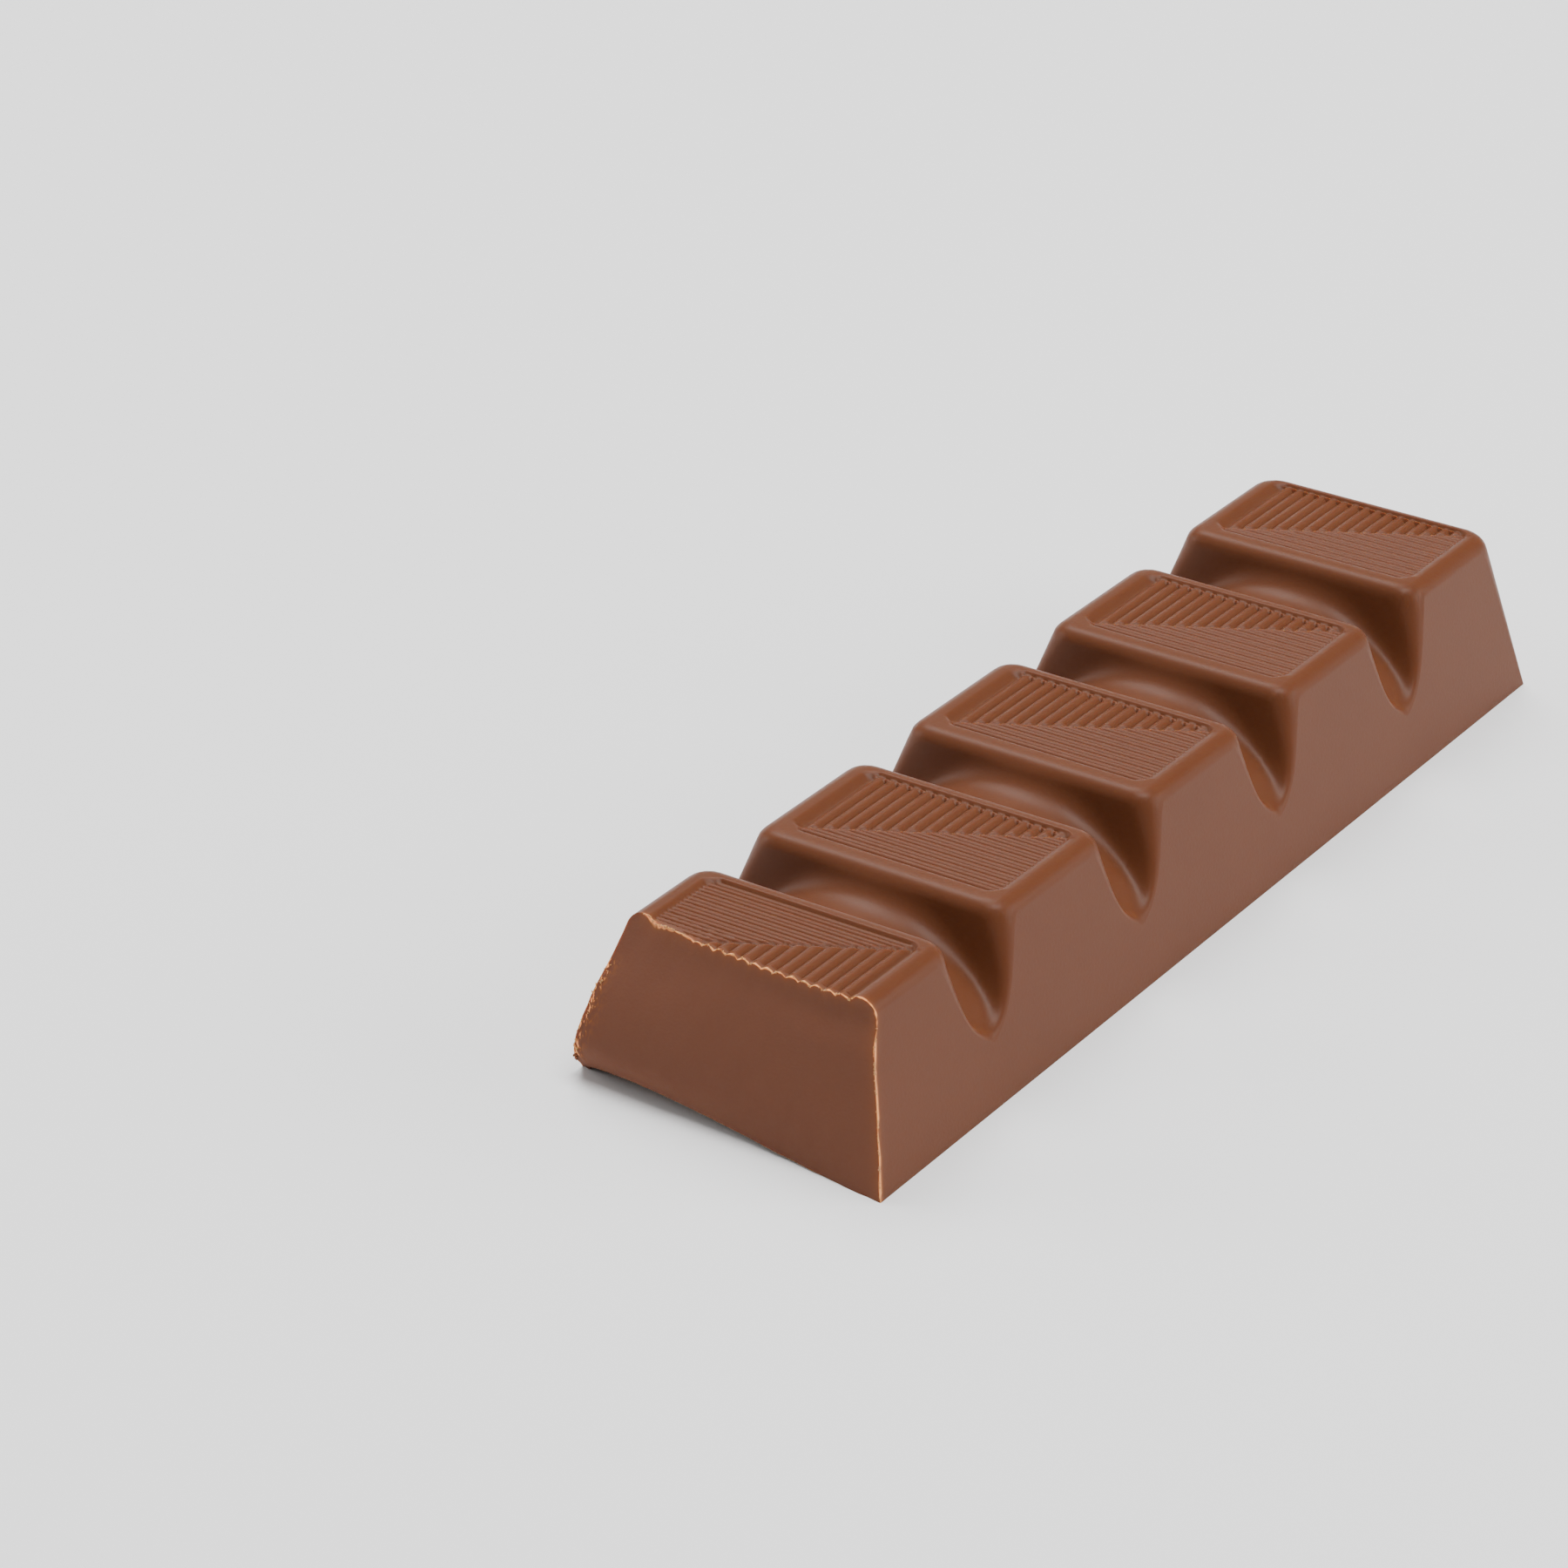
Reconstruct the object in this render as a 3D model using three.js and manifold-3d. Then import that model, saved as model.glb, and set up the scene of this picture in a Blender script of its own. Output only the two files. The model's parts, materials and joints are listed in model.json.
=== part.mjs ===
// A moulded milk chocolate bar: five ridged blocks in a row, the front one snapped through.
// Millimetres, +Z up. The bar lies along X with its snapped end at -X and its whole end at +X.
// The origin is the middle of the footprint, at the level of the flat rim that the bar rests on.
import * as THREE from 'three';
import { mergeVertices } from 'three/addons/utils/BufferGeometryUtils.js';
import Module from 'manifold-3d';

// Whole bar
const PITCH = 20;
const BLOCKS = 5;
const FIRST_CENTRE = -40.34;
const HALF_BASE = 13.3;
const SIDE_DRAFT = 0.25;
const END_BASE = 47.2;
const END_DRAFT = 0.105;
const CROWN = 12.3;
const LIFTS = [0.3, 0, 0, 0.1, 0.5];
const CROWN_ROUND = 1.0;
const EDGE_ROUND = 0.8;
const CORNER_ROUND = 1.75;
const NOTCH_ROUND = 0.4;
const END_ROUND = 0.4;
const END_ROUND_GAIN = 0.13;

// Grooves between the blocks: a U that opens upwards, leaning a little, over a floor that
// arches across the bar and meets the U in a soft fillet
const NOTCH_FLOOR = 4.7;
const NOTCH_HALF = 2.7;
const NOTCH_BEND = 1.4;
const NOTCH_DRAFT = 0.05;
const NOTCH_OFFSET = -0.9;
const NOTCH_LEAN = 0.062;
const FLOOR_TOP = 10.2;
const FLOOR_ARCH = 12.8;
const FLOOR_BLEND = 0.9;

// Sunk panel on each block
const PANEL_HALF_X = 4.79;
const PANEL_HALF_Y = 8.32;
const PANEL_WALL = 0.45;
const PANEL_CORNER = 0.6;
const PANEL_DEPTH = 0.45;

// Ridges on the panels
const LONG_PITCH = 1.0;
const LONG_SHIFT = -0.2;
const CROSS_PITCH = 0.91;
const CROSS_SHIFT = -4.89;
const RIDGE_HEIGHT = 0.2;
const RIDGE_SHARE = 0.8;
const DIAGONAL_GAP = 0.3;

// Underside: the poured face sinks a little inside a flat rim, deepest towards its left side
const HOLLOW_DEPTH = 4.5;
const HOLLOW_RIGHT = -11.8;
const HOLLOW_LEFT = 12.6;
const RIM_BAND = 1.6;

// Snapped face: how far it stands back from the foremost corner, by height, on either side
const SNAP_FRONT = -47.05;
const SNAP_RIGHT = [[-2, -0.6], [0, -0.1], [3, 0.86], [6, 1.72], [9.6, 2.54], [10.4, 3.2], [11.2, 3.62], [14, 3.45]];
const SNAP_LEFT = [[-2, 4.4], [0, 3.4], [1.1, 2.2], [3, 1.14], [5.3, 1.5], [7.2, 2.26], [9.4, 3.7], [12, 4.8], [14, 5.4]];
const SNAP_BULGE = 0.5;

function blockCentre(k) {
  return FIRST_CENTRE + k * PITCH;
}

function nearestBlock(x) {
  return THREE.MathUtils.clamp(Math.round((x - FIRST_CENTRE) / PITCH), 0, BLOCKS - 1);
}

function floorHeight(y) {
  return FLOOR_TOP - (y * y) / (2 * FLOOR_ARCH);
}

// The middle line and the half width of the groove's U at a level
function notchMiddle(z) {
  return NOTCH_OFFSET + NOTCH_LEAN * (z - NOTCH_FLOOR);
}

function notchHalf(z) {
  const rise = Math.max(0, z - NOTCH_FLOOR);
  return NOTCH_HALF * (1 - Math.exp(-rise / NOTCH_BEND)) + NOTCH_DRAFT * rise;
}

// Level of the U's surface at a place across the groove, found by halving
function notchHeight(g) {
  const side = Math.sign(g - NOTCH_OFFSET) || 1;
  let low = NOTCH_FLOOR;
  let high = 4 * CROWN;
  for (let i = 0; i < 44; i += 1) {
    const z = (low + high) / 2;
    if (side * (g - notchMiddle(z)) < notchHalf(z)) {
      high = z;
    } else {
      low = z;
    }
  }
  return (low + high) / 2;
}

// The larger of two depths, with a soft passage from one to the other
function softMax(a, b, blend) {
  const near = Math.max(blend - Math.abs(a - b), 0) / blend;
  return Math.max(a, b) + (near * near * blend) / 4;
}

// Depth under two faces whose common edge is rounded
function roundedMeet(a, b, radius) {
  if (a >= radius || b >= radius) {
    return Math.min(a, b);
  }
  return radius - Math.hypot(radius - a, radius - b);
}

// Depth of a point behind the nearest groove's surface or behind the whole end
function wallDepth(x, y, z) {
  const j = THREE.MathUtils.clamp(Math.round((x - FIRST_CENTRE) / PITCH - 0.5), 0, BLOCKS - 2);
  const g = x - FIRST_CENTRE - (j + 0.5) * PITCH;
  const across = Math.abs(g - notchMiddle(z)) - notchHalf(z) + 2 * Math.max(0, NOTCH_FLOOR - z);
  const down = notchHeight(g) - z;
  const u = (Math.sign(across) * Math.abs(across * down)) / Math.max(Math.hypot(across, down), 1e-9);
  const floor = (floorHeight(y) - z) / Math.hypot(1, y / FLOOR_ARCH);
  const end = (END_BASE - END_DRAFT * z - x) / Math.hypot(1, END_DRAFT);
  return Math.min(softMax(u, floor, FLOOR_BLEND), end);
}

// Radius of the upright corners at a level
function cornerRadius(x, z) {
  if (x > END_BASE - 6) {
    return END_ROUND + END_ROUND_GAIN * Math.max(z, 0);
  }
  const rise = THREE.MathUtils.clamp((z - NOTCH_FLOOR) / (CROWN - 1 - NOTCH_FLOOR), 0, 1);
  return NOTCH_ROUND + (CORNER_ROUND - NOTCH_ROUND) * rise ** 1.6;
}

// Depth of a point inside the moulded shape, its edges rounded
function mouldDepth(x, y, z) {
  const crown = CROWN + LIFTS[nearestBlock(x)];
  const side = (HALF_BASE - SIDE_DRAFT * z - Math.abs(y)) / Math.hypot(1, SIDE_DRAFT);
  const wall = wallDepth(x, y, z);
  const atSide = THREE.MathUtils.smoothstep(wall - side, -1.5, 1.5);
  const topRadius = THREE.MathUtils.lerp(x > END_BASE - 6 ? CROWN_ROUND : EDGE_ROUND, CROWN_ROUND, atSide);
  return roundedMeet(roundedMeet(wall, side, cornerRadius(x, z)), crown - z, topRadius);
}

// How far a point lies inside the sunk panel, from 0 on the rim to 1 on the panel's floor
function panelShare(u, y) {
  const dx = Math.abs(u) - (PANEL_HALF_X - PANEL_CORNER);
  const dy = Math.abs(y) - (PANEL_HALF_Y - PANEL_CORNER);
  const outside = Math.hypot(Math.max(dx, 0), Math.max(dy, 0)) + Math.min(Math.max(dx, dy), 0) - PANEL_CORNER;
  return THREE.MathUtils.clamp(-outside / PANEL_WALL + 1, 0, 1);
}

// Level of the upper face at a place, found by halving, with the panel sunk into it
function surfaceHeight(x, y, lowest) {
  let low = lowest;
  let high = CROWN + 1;
  for (let i = 0; i < 40; i += 1) {
    const z = (low + high) / 2;
    if (mouldDepth(x, y, z) > 0) {
      low = z;
    } else {
      high = z;
    }
  }
  return (low + high) / 2 - PANEL_DEPTH * panelShare(x - blockCentre(nearestBlock(x)), y);
}

// Half width of the upper face at a station, where its rounded edge runs out into the side wall
function halfWidth(x, lowest) {
  let inner = 6;
  let outer = HALF_BASE - SIDE_DRAFT * lowest;
  for (let i = 0; i < 30; i += 1) {
    const y = (inner + outer) / 2;
    if (surfaceHeight(x, y, lowest) < (HALF_BASE - y) / SIDE_DRAFT - 0.004) {
      inner = y;
    } else {
      outer = y;
    }
  }
  return (inner + outer) / 2;
}

// Stations along the bar: close together on the groove walls, few on the flats
function stations() {
  const groove = [
    -4.35, -4.0, -3.75, -3.58, -3.48, -3.44, -3.4, -3.32, -3.15, -2.85, -2.4, -1.95, -1.42, -0.9,
    -0.35, 0.2, 0.72, 1.2, 1.65, 2.0, 2.22, 2.38, 2.5, 2.59, 2.7, 2.85, 3.1, 3.45,
  ];
  const panel = [PANEL_HALF_X + PANEL_WALL, PANEL_HALF_X];
  const list = [-50, -48];
  for (let k = 0; k < BLOCKS; k += 1) {
    const c = blockCentre(k);
    panel.forEach((u) => list.push(c - u, c + u));
    if (k < BLOCKS - 1) {
      groove.forEach((g) => list.push(c + PITCH / 2 + g));
    }
  }
  [2.3, 1.9, 1.6, 1.4, 1.3, 1.22, 0.9, 0.5, 0.2, 0, -0.1].forEach((run) => list.push(END_BASE - run));
  return list.sort((a, b) => a - b);
}

// Shares of the half width: close together on the rounded edge and the rim
const ACROSS = [0, 0.16, 0.32, 0.48, 0.62, 0.72, PANEL_HALF_Y / 10.5, 0.84, 0.88, 0.92, 0.955, 0.982, 1];

// A finely divided box, its top bent to the upper face and its sides to the drafted walls
function mouldedBody() {
  const along = stations();
  const shares = [...ACROSS.slice(1).reverse().map((s) => -s), ...ACROSS];
  const lowest = -1;
  const base = -2;
  const columns = along.map((x) => ({ x, half: halfWidth(x, lowest) }));
  const geometry = new THREE.BoxGeometry(1, 1, 1, along.length - 1, shares.length - 1, 1);
  const place = geometry.attributes.position;
  for (let i = 0; i < place.count; i += 1) {
    const column = columns[Math.round((place.getX(i) + 0.5) * (along.length - 1))];
    const share = shares[Math.round((place.getY(i) + 0.5) * (shares.length - 1))];
    let y = share * column.half;
    let z = base;
    if (place.getZ(i) > 0) {
      z = surfaceHeight(column.x, y, lowest);
    } else {
      y = share * (HALF_BASE - SIDE_DRAFT * base);
      y = THREE.MathUtils.clamp(y, -column.half - 1, column.half + 1);
    }
    if (Math.abs(share) === 1) {
      const top = (HALF_BASE - column.half) / SIDE_DRAFT;
      z = place.getZ(i) > 0 ? top : base;
      y = share * (column.half + SIDE_DRAFT * (top - z));
    }
    place.setXYZ(i, column.x, y, z);
  }
  return geometry;
}

function edgeSetback(list, z) {
  let i = 1;
  while (i < list.length - 1 && z > list[i][0]) {
    i += 1;
  }
  const [z0, x0] = list[i - 1];
  const [z1, x1] = list[i];
  return x0 + (x1 - x0) * THREE.MathUtils.clamp((z - z0) / (z1 - z0), 0, 1);
}

// The snapped face: a slightly hollow sheet stretched between its two side edges
function snapFace(y, z) {
  const share = THREE.MathUtils.clamp((y / (HALF_BASE - SIDE_DRAFT * Math.max(z, 0)) + 1) / 2, 0, 1);
  const left = edgeSetback(SNAP_LEFT, z);
  const right = edgeSetback(SNAP_RIGHT, z);
  const bulge = SNAP_BULGE * 4 * share * (1 - share) * THREE.MathUtils.clamp(z / CROWN, 0, 1);
  return SNAP_FRONT + right + (left - right) * share - bulge;
}

function snapCutter() {
  const geometry = new THREE.BoxGeometry(20, 32, 17, 1, 16, 17);
  geometry.translate(0, 0, 6.5);
  const place = geometry.attributes.position;
  for (let i = 0; i < place.count; i += 1) {
    const x = place.getX(i) > 0 ? snapFace(place.getY(i), place.getZ(i)) : -60;
    place.setX(i, x);
  }
  return geometry;
}

// The sunk part of the underside, open towards the snapped end
function hollowCutter() {
  const geometry = new THREE.BoxGeometry(1, 1, 1, 16, 14, 1);
  const place = geometry.attributes.position;
  const back = END_BASE - RIM_BAND;
  for (let i = 0; i < place.count; i += 1) {
    const u = place.getX(i) + 0.5;
    const share = (1 - Math.cos((place.getY(i) + 0.5) * Math.PI)) / 2;
    const x = THREE.MathUtils.lerp(-52, back, Math.sin((u * Math.PI) / 2));
    const y = THREE.MathUtils.lerp(HOLLOW_RIGHT, HOLLOW_LEFT, share);
    const fade = 1 - THREE.MathUtils.clamp((x - (back - 10)) / 10, 0, 1) ** 2;
    const depth = HOLLOW_DEPTH * share ** 2.25 * Math.sqrt(1 - share) * fade;
    place.setXYZ(i, x, y, place.getZ(i) > 0 ? Math.max(depth, -0.001) : -3);
  }
  return geometry;
}

// One ridge: a low rounded rail from start to end, its foot sunk under the panel's floor
function ridgeRail(alongX, line, start, end, width, floor) {
  const half = width / 2;
  const shape = new THREE.Shape();
  shape.moveTo(-half, -0.12);
  shape.lineTo(half, -0.12);
  shape.lineTo(half, 0.02);
  shape.lineTo(half * 0.55, RIDGE_HEIGHT * 0.85);
  shape.lineTo(0, RIDGE_HEIGHT);
  shape.lineTo(-half * 0.55, RIDGE_HEIGHT * 0.85);
  shape.lineTo(-half, 0.02);
  const geometry = new THREE.ExtrudeGeometry(shape, { depth: end - start, steps: 1, bevelEnabled: false });
  geometry.rotateX(Math.PI / 2);
  geometry.rotateZ(alongX ? Math.PI / 2 : Math.PI);
  if (alongX) {
    geometry.translate(start, line, floor);
  } else {
    geometry.translate(line, start, floor);
  }
  return geometry;
}

// The panel is split from its front left to its back right corner, with ridges along the bar on
// one side of the line and across it on the other; the snapped block has them the other way round
function panelRails(k) {
  const c = blockCentre(k);
  const floor = CROWN + LIFTS[k] - PANEL_DEPTH;
  const rails = [];
  const longBack = k > 0;
  const inX = PANEL_HALF_X - 0.1;
  const inY = PANEL_HALF_Y - 0.1;
  for (let n = -9; n <= 9; n += 1) {
    const y = LONG_SHIFT + LONG_PITCH * (n + 0.5);
    const split = (-y * PANEL_HALF_X) / PANEL_HALF_Y;
    const start = longBack ? split + DIAGONAL_GAP : -inX;
    const end = longBack ? inX : split - DIAGONAL_GAP;
    if (Math.abs(y) < inY - 0.3 && end - start > 0.6) {
      rails.push(ridgeRail(true, y, c + start, c + end, LONG_PITCH * RIDGE_SHARE, floor));
    }
  }
  for (let n = 0; n <= 10; n += 1) {
    const u = CROSS_SHIFT + CROSS_PITCH * (n + 0.5);
    const split = (-u * PANEL_HALF_Y) / PANEL_HALF_X;
    const start = longBack ? -inY : split + DIAGONAL_GAP;
    const end = longBack ? split - DIAGONAL_GAP : inY;
    if (Math.abs(u) < inX - 0.2 && end - start > 0.6) {
      rails.push(ridgeRail(false, c + u, start, end, CROSS_PITCH * RIDGE_SHARE, floor));
    }
  }
  return rails;
}

const wasm = await Module();
wasm.setup();

// A closed geometry as a solid, with its shared corners merged and empty triangles left out
function solid(geometry) {
  const bare = geometry.clone();
  bare.deleteAttribute('normal');
  bare.deleteAttribute('uv');
  const merged = mergeVertices(bare, 1e-5);
  const index = merged.index.array;
  const kept = [];
  for (let i = 0; i < index.length; i += 3) {
    const [a, b, c] = [index[i], index[i + 1], index[i + 2]];
    if (a !== b && b !== c && c !== a) {
      kept.push(a, b, c);
    }
  }
  return new wasm.Manifold(new wasm.Mesh({
    numProp: 3,
    vertProperties: new Float32Array(merged.attributes.position.array),
    triVerts: new Uint32Array(kept),
  }));
}

function geometryOf(body) {
  const mesh = body.getMesh();
  const geometry = new THREE.BufferGeometry();
  geometry.setAttribute('position', new THREE.BufferAttribute(new Float32Array(mesh.vertProperties), 3));
  geometry.setIndex(new THREE.BufferAttribute(new Uint32Array(mesh.triVerts), 1));
  geometry.computeVertexNormals();
  return geometry;
}

const above = new THREE.BoxGeometry(160, 60, 40);
above.translate(0, 0, 20);

let bar = solid(mouldedBody()).intersect(solid(above));
for (let k = 0; k < BLOCKS; k += 1) {
  panelRails(k).forEach((rail) => {
    bar = bar.add(solid(rail));
  });
}
bar = bar.subtract(solid(snapCutter())).subtract(solid(hollowCutter()));

const chocolate = new THREE.MeshStandardMaterial({ color: 0x7b4a35, roughness: 0.42, metalness: 0 });
const mesh = new THREE.Mesh(geometryOf(bar), chocolate);
mesh.name = 'bar';

const chocolateBar = new THREE.Group();
chocolateBar.add(mesh);

export default chocolateBar;
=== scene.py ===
"""A moulded milk chocolate bar, five ridged blocks in a row, the front one snapped through.

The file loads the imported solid, models the bar's visible surface over it, dresses it, and sets the
camera, the lights and the floor. Shape sizes are in millimetres in the bar's own frame, with +X along
the bar from its snapped end to its whole end, its right side at -Y and +Z up. They become metres when
a mesh is placed.
"""

from __future__ import annotations

import json
import logging
import math
from collections.abc import Callable
from dataclasses import dataclass, field
from enum import Enum

import bmesh
import bpy
import numpy as np
from mathutils import Matrix, Vector

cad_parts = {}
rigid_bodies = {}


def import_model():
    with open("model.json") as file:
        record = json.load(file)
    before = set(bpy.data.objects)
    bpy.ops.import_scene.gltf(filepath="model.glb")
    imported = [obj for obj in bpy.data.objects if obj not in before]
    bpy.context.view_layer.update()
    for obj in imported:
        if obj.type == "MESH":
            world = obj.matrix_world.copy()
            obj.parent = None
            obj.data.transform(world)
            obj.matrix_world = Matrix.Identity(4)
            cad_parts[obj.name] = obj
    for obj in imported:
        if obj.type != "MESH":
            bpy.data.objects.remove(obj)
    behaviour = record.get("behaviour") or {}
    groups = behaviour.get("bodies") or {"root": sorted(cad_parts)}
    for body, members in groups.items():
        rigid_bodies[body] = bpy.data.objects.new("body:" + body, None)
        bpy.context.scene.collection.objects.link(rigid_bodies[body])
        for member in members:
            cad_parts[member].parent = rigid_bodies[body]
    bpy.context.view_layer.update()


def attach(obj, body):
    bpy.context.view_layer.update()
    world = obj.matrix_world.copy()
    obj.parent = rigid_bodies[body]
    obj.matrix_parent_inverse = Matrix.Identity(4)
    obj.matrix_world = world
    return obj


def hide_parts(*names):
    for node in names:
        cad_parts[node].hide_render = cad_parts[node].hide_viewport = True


LOG = logging.getLogger("chocolate_bar")
MM = 0.001

# Lengths in millimetres that are beyond any block's half size and below any real size.
FAR = 20.0
TINY = 1e-9

# Number of decimals by which two stations or lines are told apart.
DECIMALS = 6

# Distances that count as none on the lattice, which is 1 long, wide and deep.
LATTICE_CLOSE = 1e-4
ROW_CLOSE = 1e-5

# Distances in metres that count as none on the finished meshes.
MERGE_UNDER = 2e-7
SLIVER_UNDER = 1e-7
CHIP_CLOSE = 1e-8

Triple = tuple[float, float, float]


class RidgeLayout(Enum):
    """How a block's sunk panel is divided between its two sets of ridges."""

    ALONG_BEHIND = "along the bar behind the diagonal, across it in front"
    ACROSS_BEHIND = "across the bar behind the diagonal, along it in front"


class Finish(Enum):
    """The surfaces that the bar's skin is divided into, by material slot."""

    MOULDED = 0
    SNAPPED = 1


class CrumbFinish(Enum):
    """The finishes of the crumbs, by material slot."""

    PALE = 0
    SNAPPED = 1


class SnappedEdge(Enum):
    """The edges of the snapped face that crumbs cling to."""

    TOP = "the broken upper edge"
    RIGHT = "the edge on the right side"
    LEFT = "the flaky edge on the left side"


def ramp(value: np.ndarray, start: float, end: float) -> np.ndarray:
    """Returns how far a value has come from start to end, from 0 to 1."""
    return np.clip((value - start) / (end - start), 0, 1)


def ease(share: np.ndarray) -> np.ndarray:
    """Returns a share from 0 to 1 with softened ends."""
    return share * share * (3 - 2 * share)


def soft_max(a: np.ndarray, b: np.ndarray, blend: np.ndarray) -> np.ndarray:
    """Joins two heights in a soft valley.

    Args:
        a: The first height.
        b: The second height.
        blend: The difference between the two beyond which they meet sharply.

    Returns:
        The larger height, raised a little where the two are close.
    """
    near = np.maximum(blend - np.abs(a - b), 0) / blend
    return np.maximum(a, b) + near * near * blend / 4


def rounded_meet(a: np.ndarray, b: np.ndarray, radius: np.ndarray) -> np.ndarray:
    """Rounds the edge where two faces meet.

    Args:
        a: Depth under the first face.
        b: Depth under the second face.
        radius: The edge's radius.

    Returns:
        The depth under the rounded form.
    """
    corner = radius - np.hypot(radius - a, radius - b)
    return np.where((a >= radius) | (b >= radius), np.minimum(a, b), corner)


def halve(
    inside: Callable[[np.ndarray], np.ndarray], low: np.ndarray, high: np.ndarray, steps: int
) -> np.ndarray:
    """Finds the value at which a test stops holding, by halving.

    Args:
        inside: The test, which holds below the value that is looked for.
        low: Values at which it holds.
        high: Values at which it doesn't.
        steps: Number of halvings.

    Returns:
        The values between the two at which it stops holding.
    """
    for _ in range(steps):
        middle = (low + high) / 2
        holds = inside(middle)
        low, high = np.where(holds, middle, low), np.where(holds, high, middle)
    return (low + high) / 2


@dataclass(frozen=True)
class SmoothNoise:
    """A repeatable soft noise over a plane, made of blended random heights.

    Attributes:
        cell: Distance between two random heights, in millimetres.
        seed: Start of the random heights.
        count: Number of random heights along a side, after which they repeat.
        shift: Where the plane's origin lies among the random heights, in cells.
    """

    cell: float
    seed: int
    count: int = 97
    shift: tuple[float, float] = (41.3, 17.7)

    def sample(self, u: np.ndarray, v: np.ndarray) -> np.ndarray:
        """Reads the noise.

        Args:
            u: First coordinate in the plane.
            v: Second coordinate in the plane.

        Returns:
            Values from about -1 to 1.
        """
        heights = np.random.default_rng(self.seed).uniform(-1, 1, (self.count, self.count))
        p, q = np.broadcast_arrays(u / self.cell + self.shift[0], v / self.cell + self.shift[1])
        i, j = np.floor(p).astype(int), np.floor(q).astype(int)
        s, t = ease(p - i), ease(q - j)
        i, j, beside, beyond = (n % self.count for n in (i, j, i + 1, j + 1))
        near = heights[i, j] * (1 - s) + heights[beside, j] * s
        far = heights[i, beyond] * (1 - s) + heights[beside, beyond] * s
        return near * (1 - t) + far * t


@dataclass(frozen=True)
class Groove:
    """The break groove between two blocks: a U under an arched floor.

    Attributes:
        floor_level: Level of the U's foot, where it opens at the sides.
        half: Half width that the foot widens to.
        bend: Rise over which it widens.
        draft: Widening of the U's walls for each millimetre of rise.
        offset: Place of the foot's middle, from the middle between two panels.
        lean: How far the U's middle moves along the bar for each millimetre of rise.
        arch_top: Level of the arched floor in the middle of the bar.
        arch: Radius of the arched floor.
        blend: How softly the arched floor runs into the U's walls.
        notch_blend: The same at the notches.
        notch_start: Distance from the middle at which the blend starts to narrow.
        notch_end: Distance from the middle at which it is down to the notch's.
        under: How much more a drop under the foot counts than a step to the side.
        reach: Rise over the foot up to which the outline is worked out.
        level_count: Number of points that the outline's levels are read from.
        outline_count: Number of points that the mesh's stations are spaced over.
    """

    floor_level: float = 4.7
    half: float = 2.7
    bend: float = 1.4
    draft: float = 0.05
    offset: float = -0.9
    lean: float = 0.062
    arch_top: float = 10.2
    arch: float = 12.8
    blend: float = 2.2
    notch_blend: float = 0.6
    notch_start: float = 3.5
    notch_end: float = 10.0
    under: float = 2.0
    reach: float = 40.0
    level_count: int = 4000
    outline_count: int = 3000

    def middle(self, z: np.ndarray) -> np.ndarray:
        """Returns the U's middle line at level z, measured from the middle between two panels."""
        return self.offset + self.lean * (z - self.floor_level)

    def half_width(self, z: np.ndarray) -> np.ndarray:
        """Returns the U's half width at level z."""
        rise = np.maximum(0, z - self.floor_level)
        return self.half * (1 - np.exp(-rise / self.bend)) + self.draft * rise

    def level(self, g: np.ndarray) -> np.ndarray:
        """Finds the U's surface at a place across the groove.

        Args:
            g: Distance along the bar from the middle between two panels.

        Returns:
            The level of the U's surface there, far above the crown outside the U.
        """
        z = self.floor_level + np.linspace(0, 1, self.level_count) ** 2 * self.reach
        right = np.maximum.accumulate(self.middle(z) + self.half_width(z))
        left = np.maximum.accumulate(self.half_width(z) - self.middle(z))
        return np.where(g > self.offset, np.interp(g, right, z), np.interp(-g, left, z))

    def depth(self, g: np.ndarray, y: np.ndarray, z: np.ndarray) -> np.ndarray:
        """Measures how deep points lie under the groove's surface.

        Args:
            g: Distance along the bar from the middle between two panels.
            y: Distance across the bar.
            z: Level.

        Returns:
            The depth, negative in the open groove.
        """
        sunk = np.maximum(0, self.floor_level - z)
        across = np.abs(g - self.middle(z)) - self.half_width(z) + self.under * sunk
        down = self.level(g) - z
        wall = np.sign(across) * np.abs(across * down) / np.maximum(np.hypot(across, down), TINY)
        floor = (self.arch_top - y * y / (2 * self.arch) - z) / np.hypot(1, y / self.arch)
        notch = ease(ramp(np.abs(y), self.notch_start, self.notch_end))
        return soft_max(wall, floor, self.blend + (self.notch_blend - self.blend) * notch)

    def wall_stations(self, top: float, step: float) -> np.ndarray:
        """Spaces the mesh's stations evenly over the U's outline.

        Args:
            top: Level where the U runs out into the crown's edge.
            step: Distance between two stations over the outline.

        Returns:
            Distances along the bar from the middle between two panels.
        """
        z = self.floor_level + np.linspace(0, 1, self.outline_count) ** 2 * (top - self.floor_level)
        left = np.stack([self.middle(z) - self.half_width(z), z], axis=1)[::-1]
        right = np.stack([self.middle(z) + self.half_width(z), z], axis=1)
        line = np.concatenate([left, right[1:]])
        run = np.concatenate([[0], np.cumsum(np.hypot(*np.diff(line, axis=0).T))])
        return np.interp(np.linspace(0, run[-1], int(run[-1] / step) + 1), run, line[:, 0])


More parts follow.
